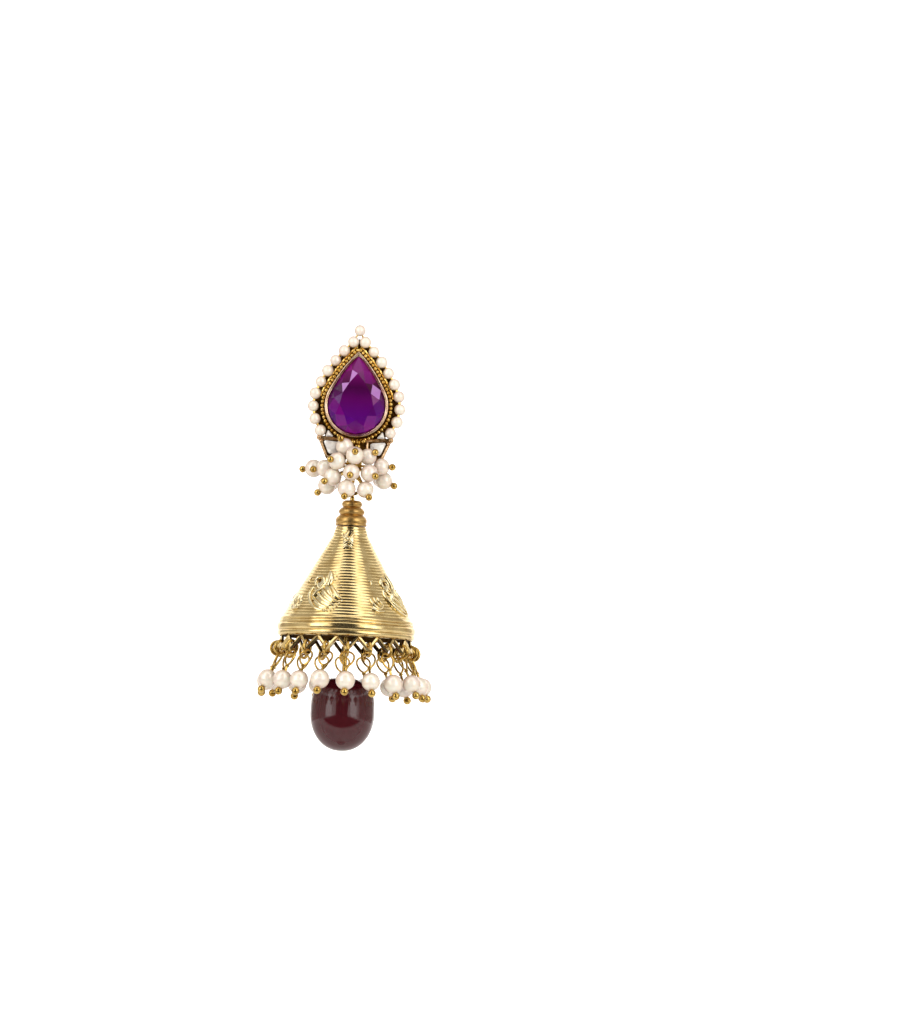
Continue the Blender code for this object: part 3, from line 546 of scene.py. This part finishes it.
margin = stud["plateMargin"] + stud["air"] + stud["pearl"]
first = stud["pearlPitch"] * 0.62
sidePoints = pearPoints(margin, first + stud["pearlPitch"] * np.arange(stud["pearlsASide"]))
apex = np.array((0, sidePoints[0, 1] + math.sqrt(stud["pearlPitch"] ** 2 - sidePoints[0, 0] ** 2)))
centres = np.concatenate([sidePoints[::-1] * (-1, 1), [apex], sidePoints])
pearlY = -stud["pearl"]
parts = []
for k, (x, z) in enumerate(centres):
    size = stud["pearl"] * (1 + 0.035 * math.sin(2.7 * k + 0.4))
    parts.append(ball((x, pearlY, z), size, 28, 18))
makePiece("border_pearls", parts, pearlCoat, "stud", ["edge_pearls"])
path = np.stack([centres[:, 0], np.full(len(centres), pearlY), centres[:, 1]], axis=-1)
makePiece(
    "border_pearl_wire", [wire(path, stud["pearlWire"], (0, 1, 0), 8)], antiqueGold, "stud",
    ["edge_pearls"])

print("cluster")

cluster = {"z": -11.6, "reach": 6.0, "pearl": 1.55, "pin": 0.2, "ball": 0.62, "hole": 0.8}
clusterRows = (
    # turn and tilt in degrees, share of the reach
    (-34, 4, 0.87), (2, 16, 0.87), (41, 21, 0.68), (-29, 41, 0.78),
    (-51, -27, 0.86), (-4, -18, 0.83), (35, -17, 0.87), (-13, -45, 1.05),
    (31, -45, 1.04), (-83, -8, 0.87), (-104, -5, 1.23), (72, -1, 0.86),
    (93, -24, 0.99), (-90, -39, 0.99), (125, -18, 1.02), (-135, -26, 1.00),
)
heart = np.array((0, hangY, cluster["z"]))
pearls = []
# The sleeve round the stem: along it and out from it
sleeveTable = [(-0.95, 0.8), (-0.95, 1.25), (-0.8, 1.4), (0.8, 1.4), (0.95, 1.25), (0.95, 0.8)]
pins = [spun(sleeveTable, 24, heart)]
for k, (turn, tilt, share) in enumerate(clusterRows):
    t, u = math.radians(turn), math.radians(tilt)
    axis = np.array((math.sin(t) * math.cos(u), -math.cos(t) * math.cos(u), math.sin(u)))
    reach = cluster["reach"] * share
    size = cluster["pearl"] * (1 + 0.04 * math.sin(2.1 * k))
    pearls.append(ball(heart + reach * axis, size, 32, 20, axis, 0.97))
    tip = reach + cluster["pearl"]
    root = cluster["hole"] / math.cos(u) + 0.1
    pins.append(spun([(root, cluster["pin"]), (tip + 0.3, cluster["pin"])], 8, heart, axis))
    pins.append(ball(heart + (tip + 0.46) * axis, cluster["ball"], 18, 12, axis))
makePiece("cluster_pearls", pearls, pearlCoat, "stud", ["pearl_cluster"])
makePiece("cluster_pins", pins, antiqueGold, "stud", ["pearl_cluster"])

print("link, pins and cap")

makePiece("link_ring", [hanger("link", (0, 1, 0), 40)], antiqueGold, "link", ["link"])
bellPin = {"top": -17.2, "length": 6.6, "radius": 0.4}
shaft = [
    spun([(0, bellPin["radius"]), (bellPin["length"], bellPin["radius"])], 16, (0, hangY, bellPin["top"])),
    hanger("bellEye", (1, 0, 0)),
    hanger("innerEye", (1, 0, 0)),
]
makePiece("bell_shaft", shaft, antiqueGold, "bell", ["bell_pin"])

cap = {"top": -17.8, "height": 4.3, "bore": 0.7}
# Three bulged tiers, each wider than the one above, with a grooved waist between them
capRows = (
    # share of the height, radius
    (0.00, cap["bore"]),
    (0.00, 1.30), (0.04, 1.62), (0.12, 1.80), (0.20, 1.76), (0.26, 1.58), (0.29, 1.66), (0.34, 2.00),
    (0.42, 2.26), (0.50, 2.28), (0.56, 2.10), (0.59, 2.02), (0.63, 2.24), (0.70, 2.58), (0.79, 2.76),
    (0.88, 2.74), (0.94, 2.66), (0.97, 2.76), (1.04, 2.74), (1.04, cap["bore"]),
)


def around(profile, sides):
    # A closed profile of (radius, z) carried round the hanging axis
    profile = np.asarray(profile, float)
    t = np.linspace(0, 2 * np.pi, sides, endpoint=False)[:, None]
    r, z = profile[None, :, 0], profile[None, :, 1]
    grid = np.stack([r * np.cos(t), hangY + r * np.sin(t), z + 0 * t], axis=-1)
    return surface(grid, closeRows=True)


capProfile = [(radius, cap["top"] - share * cap["height"]) for share, radius in capRows]
makePiece("ribbed_cap", [around(capProfile, 72)], matteGold, "bell", ["cap"], crease=50)

print("bell")

bell = {
    "top": -22.4, "height": 19.8, "neckHeight": 1.7, "neck": 2.6, "flare": 0.2, "cone": 11.5,
    "rim": 12.2, "rimHeight": 3.4, "wall": 0.8, "ribPitch": 0.52, "ribDepth": 0.075, "bore": 0.7,
    "sides": 144,
}
rimTop = bell["height"] - bell["rimHeight"]
neckFoot = bell["neck"] * (1 + bell["flare"])
slope = (bell["cone"] - neckFoot) / (rimTop - bell["neckHeight"])


def coneRadius(below):
    # The bell's outer radius this far under its top: a steep neck, then the straight cone
    neck = bell["neck"] * (1 + bell["flare"] * below / bell["neckHeight"])
    return np.where(below < bell["neckHeight"], neck, neckFoot + slope * (below - bell["neckHeight"]))


# The cone is ribbed all the way down: radius = cone + depth * (|sin|^0.6 - 0.75), narrow grooves
# between rounded ribs
rows = np.arange(0.15, rimTop - 0.1, bell["ribPitch"] / 8)
phase = rows / bell["ribPitch"] * np.pi
rib = bell["ribDepth"] * (np.abs(np.sin(phase)) ** 0.6 - 0.75)
outer = [(bell["bore"], 0), (bell["neck"] - 0.1, 0)] + list(zip(coneRadius(rows) + rib, rows))
rimTable = (
    # share of the rim's height, out from the rim's own radius
    (0.00, -0.62), (0.05, -0.42), (0.10, -0.40), (0.14, -0.52), (0.18, -0.34), (0.24, -0.24), (0.29, -0.38),
    (0.33, -0.20), (0.38, -0.06), (0.48, 0.0), (0.58, -0.02), (0.66, -0.10), (0.70, -0.24), (0.74, -0.10),
    (0.82, -0.06), (0.90, -0.12), (0.96, -0.30), (1.00, -0.50),
)
outer += [(bell["rim"] + out, rimTop + share * bell["rimHeight"]) for share, out in rimTable]
inner = [
    (bell["rim"] - 1.3, bell["height"]), (bell["cone"] - 0.95, rimTop),
    (neckFoot - 0.75, bell["neckHeight"] + 0.2), (bell["neck"] - bell["wall"], bell["wall"]),
    (bell["bore"], bell["wall"]),
]
bellProfile = [(r, bell["top"] - below) for r, below in outer + inner]
shell = makePiece(
    "bell_shell", [around(bellProfile, bell["sides"])], brightGold, "bell", ["bell"],
    crease=70)
# Faces that lie well inside the skin are the casting's inside, darkened as a painted shade
middle, normals = faceTable(shell)
across = np.hypot(middle[:, 0], middle[:, 1] - hangY)
below = bell["top"] - middle[:, 2]
skin = np.where(below < rimTop, coneRadius(below), bell["rim"] - 0.35)
dress(shell, innerShadeBrass, (across < skin - 0.4) & (below > 0.3))


def onCone(turn, u, v, lift):
    # A point beside a motif's middle: u round the bell, v up it, and out by the lift
    v, u, lift = np.broadcast_arrays(v, u, lift)
    below = bell["top"] - v
    radius = coneRadius(below) + lift
    angle = turn + u / np.maximum(coneRadius(below), 1.0)
    return np.stack([radius * np.sin(angle), hangY - radius * np.cos(angle), v], axis=-1)


def smoothPath(points, count):
    # A curve through the points: on each leg a Catmull-Rom cubic, at + bt^2 + ct^3 from its first point
    points = np.array(points, float)
    t = np.linspace(0, len(points) - 1, count)
    k = np.clip(t.astype(int), 0, len(points) - 2)
    s = (t - k)[:, None]
    before = points[np.maximum(k - 1, 0)]
    a, b = points[k], points[k + 1]
    after = points[np.minimum(k + 2, len(points) - 1)]
    return 0.5 * (2 * a + (b - before) * s + (2 * before - 5 * a + 4 * b - after) * s ** 2
                  + (3 * a - before - 3 * b + after) * s ** 3)


def stroke(turn, z, points, width, lift):
    # A raised band on the bell: half an oval across, thin at its ends
    line = smoothPath(points, 22)
    along = np.gradient(line, axis=0)
    along /= np.linalg.norm(along, axis=1)[:, None]
    across = np.stack([-along[:, 1], along[:, 0]], axis=-1)
    s = np.linspace(0, 1, len(line))
    taper = np.sin(np.pi * (0.06 + 0.88 * s)) ** 0.6
    t = np.linspace(0, np.pi, 9)
    wide = (1.15 * width * taper)[:, None] * np.cos(t)
    high = (1.3 * lift * taper)[:, None] * np.sin(t) - 0.05
    u = line[:, 0, None] + across[:, 0, None] * wide
    v = z + line[:, 1, None] + across[:, 1, None] * wide
    return surface(onCone(turn, u, v, high), closeColumns=False, caps=False)


def bead(turn, z, u, v, size):
    # A ball sunk a little into the cone
    centre = onCone(turn, u, z + v, size * 0.3)
    return ball(centre, size, 10, 7)


# The motif: a curled head, an upright petal, crossing leaves, sweeping feathers and a beaded edge
motifStrokes = (
    # points as (across, up) from the motif's middle, half width, height
    (((-1.5, 1.5), (-1.0, 2.3), (-1.5, 3.1), (-2.4, 3.1), (-2.9, 2.3), (-2.6, 1.6)), 0.26, 0.42),
    (((-0.1, 1.5), (0.15, 2.6), (-0.35, 4.2)), 0.50, 0.50),
    (((-3.1, 1.3), (-3.4, 0.1), (-2.7, -1.3), (-1.3, -2.5), (0.4, -2.95)), 0.30, 0.46),
    (((-2.6, 1.2), (-1.6, 0.2), (-0.2, -0.9), (1.9, -1.9)), 0.33, 0.48),
    (((-1.4, 1.5), (-0.6, 0.6), (0.6, -0.4), (2.5, -1.4)), 0.33, 0.48),
    (((-2.9, -0.1), (-1.9, -1.0), (-0.5, -1.9), (1.2, -2.45)), 0.28, 0.40),
    (((-0.7, 1.5), (-1.7, 0.4), (-2.5, -0.8)), 0.26, 0.62),
    (((0.4, 1.8), (1.1, 0.9), (2.0, 0.0), (3.0, -0.7)), 0.26, 0.42),
    (((0.1, 1.4), (0.8, 0.4), (1.5, -0.5)), 0.24, 0.40),
)
motifBeads = (
    (0.5, -2.95, 0.24), (1.05, -2.95, 0.24), (1.6, -2.8, 0.24), (2.1, -2.5, 0.24), (2.55, -2.1, 0.23),
    (2.9, -1.65, 0.22), (3.2, -1.15, 0.21), (0.9, 2.6, 0.18), (1.0, 3.3, 0.16), (1.5, 2.9, 0.17),
    (1.8, 2.2, 0.17), (2.3, 1.5, 0.17), (0.6, 3.9, 0.15),
)
companionStrokes = (
    (((-1.3, 0.8), (-0.9, -0.2), (0.2, -1.0)), 0.26, 0.42),
    (((-0.6, 1.1), (-0.3, 0.2), (0.6, -0.6)), 0.26, 0.46),
    (((0.2, 1.1), (0.4, 0.4), (1.1, -0.2)), 0.24, 0.42),
    (((-1.5, -0.9), (-0.4, -1.4), (1.2, -1.3)), 0.22, 0.40),
)
neckStrokes = (
    (((0, 0.2), (-0.5, 0.8), (0, 1.7)), 0.28, 0.34),
    (((0, 0.2), (0.6, 0.8), (0.9, 1.4)), 0.24, 0.34),
    (((0, 0.2), (-0.7, 0.5), (-1.0, 1.2)), 0.24, 0.34),
    (((-0.9, -0.7), (0, -0.2), (0.9, -0.7)), 0.26, 0.36),
    (((-0.8, -1.5), (0, -1.0), (0.9, -1.5)), 0.26, 0.36),
)
sprigStrokes = (
    (((-0.4, 0.2), (0, 0), (0.5, 0.4)), 0.14, 0.26),
    (((0, 0), (0.1, -0.3), (0.0, -0.6)), 0.13, 0.26),
)


def pad(turn, z, wide, high, lift):
    # A smooth swelling that carries a motif: an oval that falls off to nothing at its edge
    t = np.linspace(0, 2 * np.pi, 40, endpoint=False)[None, :]
    s = np.linspace(0.02, 1, 10)[:, None]
    u, v = wide * s * np.cos(t), z + high * s * np.sin(t)
    return surface(onCone(turn, u, v, lift * (1 - s ** 4) - 0.1 * s), caps=False)


motifPads = (
    # radians round and millimetres up from the motif's middle, half width, half height, height out
    (-0.02, -0.6, 3.1, 2.3, 0.20), (-0.19, 2.2, 1.3, 1.4, 0.16), (-0.60, -1.4, 1.5, 1.2, 0.16),
)
# Dark patches that stand for shaded recesses, a painted shade: across, up, half width, half height
paintedShadeRows = ((-1.95, 2.35, 0.42, 0.5), (-1.75, 0.15, 0.3, 0.42), (-2.2, -1.15, 0.26, 0.3))
motif = {"count": 4, "z": -34.9, "turn": math.radians(-23), "hollow": 0.3}
# Where the smaller strokes stand: radians round and millimetres up from the motif's middle
companion = {"turn": -0.60, "up": -1.2}
sprig = {"turn": 0.93, "up": 2.6}
neck = {"turn": math.radians(18), "z": -25.0, "pad": (1.2, 2.0, 0.12)}

relief, paintedShadeHollows = [], []


def addStrokes(table, turn, z):
    # Every stroke of a table at one place on the bell
    for points, width, lift in table:
        relief.append(stroke(turn, z, points, width, lift))


for k in range(motif["count"]):
    turn = 2 * math.pi * k / motif["count"] + motif["turn"]
    for swing, up, wide, high, lift in motifPads:
        relief.append(pad(turn + swing, motif["z"] + up, wide, high, lift))
    for u, v, wide, high in paintedShadeRows:
        swing = u / float(coneRadius(bell["top"] - motif["z"] - v))
        paintedShadeHollows.append(pad(turn + swing, motif["z"] + v, wide, high, motif["hollow"]))
    addStrokes(motifStrokes, turn, motif["z"])
    for u, v, size in motifBeads:
        relief.append(bead(turn, motif["z"], u, v, size))
    addStrokes(companionStrokes, turn + companion["turn"], motif["z"] + companion["up"])
    # The neck's motif is cast at the front and the back only
    if k % 2 == 0:
        relief.append(pad(turn + neck["turn"], neck["z"], *neck["pad"]))
        addStrokes(neckStrokes, turn + neck["turn"], neck["z"])
    addStrokes(sprigStrokes, turn + sprig["turn"], motif["z"] + sprig["up"])
# The raised work in the paler gold, a painted highlight
makePiece("bell_relief", relief, reliefHighlightGold, "bell", ["bell"], crease=60)
# Dark brass patches on the relief, a painted shade for its recesses
makePiece("bell_painted_shade", paintedShadeHollows, paintedShadeBrass, "bell", ["bell"], crease=60)

# The gallery: a strap that zigzags under the rim, with a ridge along its face
gallery = {
    "foot": -44.9, "topRadius": 11.3, "footRadius": 11.9, "strap": 0.95, "depth": 0.5, "points": 20,
    "start": 3.0,
}
# The strap's section: out in depths, up in straps
strapSection = ((-0.5, 0), (0.25, 0), (0.62, 0.5), (0.25, 1), (-0.5, 1))
rings = []
for k in range(2 * gallery["points"]):
    t = math.pi * k / gallery["points"] - math.pi / 2 + math.radians(gallery["start"])
    up = k % 2
    radius = gallery["topRadius"] if up else gallery["footRadius"]
    low = bell["top"] - bell["height"] + 0.35 - gallery["strap"] if up else gallery["foot"]
    ring = []
    for out, rise in strapSection:
        r = radius + out * gallery["depth"]
        ring.append((r * math.cos(t), hangY + r * math.sin(t), low + rise * gallery["strap"]))
    rings.append(ring)
zigzag = makePiece(
    "bell_gallery", [surface(np.array(rings), closeRows=True)], brightGold, "bell", ["bell"],
    crease=15)
# The strap's inner faces get the same painted shade as the inside of the bell
middle, normals = faceTable(zigzag)
away = middle[:, :2] - (0, hangY)
dress(zigzag, innerShadeBrass, (away * normals[:, :2]).sum(axis=1) < -0.3 * np.hypot(away[:, 0], away[:, 1]))

print("fringe")

fringe = {
    "count": 20, "ring": 1.15, "ringWire": 0.28, "ringZ": -44.4, "loopWide": 2.4, "loopHigh": 2.8,
    "loopWire": 0.18, "pin": 1.3, "pearl": 1.65, "ball": 0.7, "hookAir": 0.2,
    "splay": 24.0, "splaySpread": 4.0, "leanSpread": 3.0,
}
loopTop = fringe["ringWire"] + fringe["loopWire"] + fringe["hookAir"]
t = np.linspace(0, 2 * np.pi, 30, endpoint=False)
loopX = 0.5 * fringe["loopWide"] * np.sin(t) * (1 + 0.25 * np.cos(t))
loopZ = loopTop - 0.5 * fringe["loopHigh"] * (1 - np.cos(t))
loop = wire(np.stack([loopX, 0 * t, loopZ], axis=-1), fringe["loopWire"], (0, 1, 0), 8, closed=True)
pinTop = loopTop - fringe["loopHigh"] + fringe["loopWire"] * 0.5
ringParts, pinParts, pearlParts = [], [], []
for k in range(fringe["count"]):
    turn = 2 * math.pi * k / fringe["count"] + math.radians(gallery["start"])
    place = Matrix.Translation((0, hangY, 0)) @ Matrix.Rotation(turn, 4, "Z")
    centre = Matrix.Translation((0, -gallery["footRadius"], fringe["ringZ"]))
    twist = Matrix.Rotation(math.radians(5 * math.sin(2.9 * k)), 4, "Z")
    jumpRing = hoop((0, 0, 0), fringe["ring"], fringe["ringWire"], (1, 0, 0), 24)
    ringParts.append(moved(jumpRing, place @ centre @ twist))
    splay = math.radians(fringe["splay"] + fringe["splaySpread"] * math.sin(2.4 * k + 0.5))
    lean = math.radians(fringe["leanSpread"] * math.sin(1.7 * k + 1.0))
    hook = Matrix.Translation((0, -gallery["footRadius"], fringe["ringZ"] - fringe["ring"]))
    matrix = place @ hook @ Matrix.Rotation(-splay, 4, "X") @ Matrix.Rotation(lean, 4, "Y")
    pinParts.append(moved(loop, matrix))
    foot = fringe["pin"] + 2 * fringe["pearl"]
    ballZ = pinTop - foot - fringe["ball"] * 0.8
    pinParts.append(moved(spun([(0, 0.23), (foot + 0.3, 0.23)], 8, (0, 0, pinTop)), matrix))
    pinParts.append(moved(ball((0, 0, ballZ), fringe["ball"], 16, 10), matrix))
    # The wire's end wraps once under the eye
    pinParts.append(moved(hoop((0, 0, pinTop - 0.35), 0.26, 0.15, (0, 0, 1), 12, 6), matrix))
    size = fringe["pearl"] * (1 + 0.03 * math.sin(3.3 * k + 1))
    pearlParts.append(moved(ball((0, 0, pinTop - fringe["pin"] - fringe["pearl"]), size, 28, 18), matrix))
drops = [f"fringe_drop_{k + 1:02d}" for k in range(fringe["count"])]
rings = [f"jump_ring_{k + 1:02d}" for k in range(fringe["count"])]
makePiece("jump_rings", ringParts, antiqueGold, "bell", rings)
makePiece("fringe_pins", pinParts, antiqueGold, "bell", drops)
makePiece("fringe_pearls", pearlParts, pearlCoat, "bell", drops)

print("glass drop")

drop = {"z": -55.4, "radius": 5.67, "upper": 6.3, "lower": 6.6, "shoulder": 0.71, "foot": 0.92}
t = np.linspace(0.07, np.pi - 0.02, 70)
isUpper = t < np.pi / 2
# Half an oval below, and above it a squarer shoulder: along = -upper |cos|^shoulder, out = radius sin^power
above = -drop["upper"] * np.abs(np.cos(t)) ** drop["shoulder"]
along = np.where(isUpper, above, -drop["lower"] * np.cos(t))
power = np.where(isUpper, drop["shoulder"], drop["foot"])
table = np.stack([drop["upper"] + along, drop["radius"] * np.sin(t) ** power], axis=-1)
dropTop = (0, hangY, drop["z"] + drop["upper"])
makePiece(
    "glass_drop", [spun(table, 72, dropTop)], maroonGlass, "drop", ["drop_bead"])
makePiece(
    "inner_ring", [hanger("dropRing", (0, 1, 0), 36)], antiqueGold, "drop_ring",
    ["drop_ring"])
dropPin = {"top": -27.8, "length": 26.6, "radius": 0.4}
shaft = [
    spun([(0, dropPin["radius"]), (dropPin["length"], dropPin["radius"])], 14, (0, hangY, dropPin["top"])),
    hanger("dropEye", (1, 0, 0)),
]
makePiece("inner_pin", shaft, antiqueGold, "drop", ["drop_pin"])

post = bpy.data.objects["ear_post"]
post.data.materials.clear()
post.data.materials.append(antiqueGold)

print("studio")

# A white cove all round: a flat floor that curves up into a wall
cove = {"floor": -0.16, "flat": 1.2, "bend": 0.7, "wall": 0.5}
t = np.linspace(0, np.pi / 2, 12)
bendOut = cove["flat"] + cove["bend"] * np.sin(t)
bendUp = cove["floor"] + cove["bend"] * (1 - np.cos(t))
profile = [(0.02, cove["floor"]), (cove["flat"], cove["floor"]), *zip(bendOut, bendUp)]
profile.append((cove["flat"] + cove["bend"], cove["floor"] + cove["bend"] + cove["wall"]))
profile = np.array(profile)
t = np.linspace(0, 2 * np.pi, 96, endpoint=False)[:, None]
grid = np.stack([profile[:, 0] * np.cos(t), profile[:, 0] * np.sin(t), profile[:, 1] + 0 * t], axis=-1)
points, faces = surface(grid, closeRows=True, closeColumns=False)
mesh = bpy.data.meshes.new("studio_floor")
mesh.from_pydata(points.tolist(), [], faces)
mesh.shade_smooth()
# Matt white paper, lit a little of itself so that it stays white behind the metal
paper, tree, shader = makeMaterial("white paper, matt", "#F4F3F1", 0.9)
shader.inputs["Emission Color"].default_value = (1, 1, 1, 1)
place = addNode(tree, "ShaderNodeTexCoord").outputs["Object"]
away = addNode(tree, "ShaderNodeVectorMath", {"operation": "LENGTH"})
tree.links.new(place, away.inputs[0])
fade = {"From Min": 0.3, "From Max": 1.1, "To Min": 0.0, "To Max": 0.62}
glow = addNode(tree, "ShaderNodeMapRange", fade, Value=away.outputs["Value"])
tree.links.new(glow.outputs[0], shader.inputs["Emission Strength"])
mesh.materials.append(paper)
floor = bpy.data.objects.new("studio_floor", mesh)
bpy.context.collection.objects.link(floor)


def addFlag(name, corners, faces, colour):
    # Felt that is only mirrored: it hides nothing from the camera and darkens nothing else
    mesh = bpy.data.meshes.new(name)
    mesh.from_pydata(corners, [], faces)
    mesh.materials.append(makeMaterial(name + " felt", colour, 1.0)[0])
    card = bpy.data.objects.new(name, mesh)
    bpy.context.collection.objects.link(card)
    card.visible_camera = False
    card.visible_diffuse = False
    card.visible_shadow = False


# A dark flag behind and below the camera, which the polished faces mirror
low = -0.15
flag = {"left": -0.46, "right": 0.40, "high": 1.5, "far": -1.14, "near": -0.13, "lean": 0.6}
left, right, far, near = flag["left"], flag["right"], flag["far"], flag["near"]
corners = [(left, far, low), (right, far, low)]
corners += [(x, far + flag["lean"], flag["high"]) for x in (right, left)]
corners += [(left, near, low), (right, near, low)]
addFlag("studio_flag", corners, [(0, 1, 2, 3), (4, 5, 1, 0)], "#3A3836")
# Two low grey cards at the sides, which keep the rim's edges golden
card = {"out": 0.56, "front": -0.30, "back": 0.75, "high": 0.22}
for hand, x in (("left", -card["out"]), ("right", card["out"])):
    corners = [(x, card["front"], low), (x, card["back"], low)]
    corners += [(x, card["back"], card["high"]), (x, card["front"], card["high"])]
    addFlag("studio_card_" + hand, corners, [(0, 1, 2, 3)], "#B4B0AA")

world = bpy.data.worlds.new("studio")
world.use_nodes = True
background = world.node_tree.nodes["Background"]
background.inputs["Color"].default_value = (*linear("#BDB9B3"), 1)
background.inputs["Strength"].default_value = 1.05
bpy.context.scene.world = world

aim = Vector((0, hangY * mm, -0.030))


def addLight(name, azimuth, elevation, distance, width, height, power):
    # A softbox that faces the earring: azimuth from the front, positive to the right
    a, e = math.radians(azimuth), math.radians(elevation)
    away = Vector((math.sin(a) * math.cos(e), -math.cos(a) * math.cos(e), math.sin(e)))
    data = bpy.data.lights.new(name, "AREA")
    data.shape = "RECTANGLE"
    data.size = width
    data.size_y = height
    data.energy = power
    light = bpy.data.objects.new(name, data)
    light.location = aim + away * distance
    light.rotation_euler = away.to_track_quat("Z", "Y").to_euler()
    bpy.context.collection.objects.link(light)


addLight("softbox_left", -49, 32, 0.75, 0.36, 1.30, 2.0)
addLight("softbox_right", 41, 32, 0.75, 0.36, 1.30, 2.1)
addLight("softbox_top", 10, 82, 0.80, 0.4, 0.4, 0.5)

print("camera")

# The axis leans a little to the right at its top, and is seen from just under the level
view = {"distance": 0.9, "elevation": -4.0, "roll": 2.59, "pixelsPerMm": 5.665, "height": 1024}
target = Vector((17.42, hangY, -19.0)) * mm
e, roll = math.radians(view["elevation"]), math.radians(view["roll"])
away = Vector((0, -math.cos(e), math.sin(e)))
level = Vector((1, 0, 0))
upright = away.cross(level)
right = level * math.cos(roll) + upright * math.sin(roll)
up = upright * math.cos(roll) - level * math.sin(roll)
data = bpy.data.cameras.new("camera")
data.sensor_width = 36
spread = view["height"] / view["pixelsPerMm"] * mm
data.lens = data.sensor_width * view["distance"] / spread
data.clip_start = 0.02
data.clip_end = 20
camera = bpy.data.objects.new("camera", data)
bpy.context.collection.objects.link(camera)
camera.matrix_world = Matrix.Translation(target + away * view["distance"]) @ Matrix((
    (right.x, up.x, away.x, 0), (right.y, up.y, away.y, 0), (right.z, up.z, away.z, 0), (0, 0, 0, 1)))
bpy.context.scene.camera = camera
bpy.context.scene.view_settings.view_transform = "Standard"
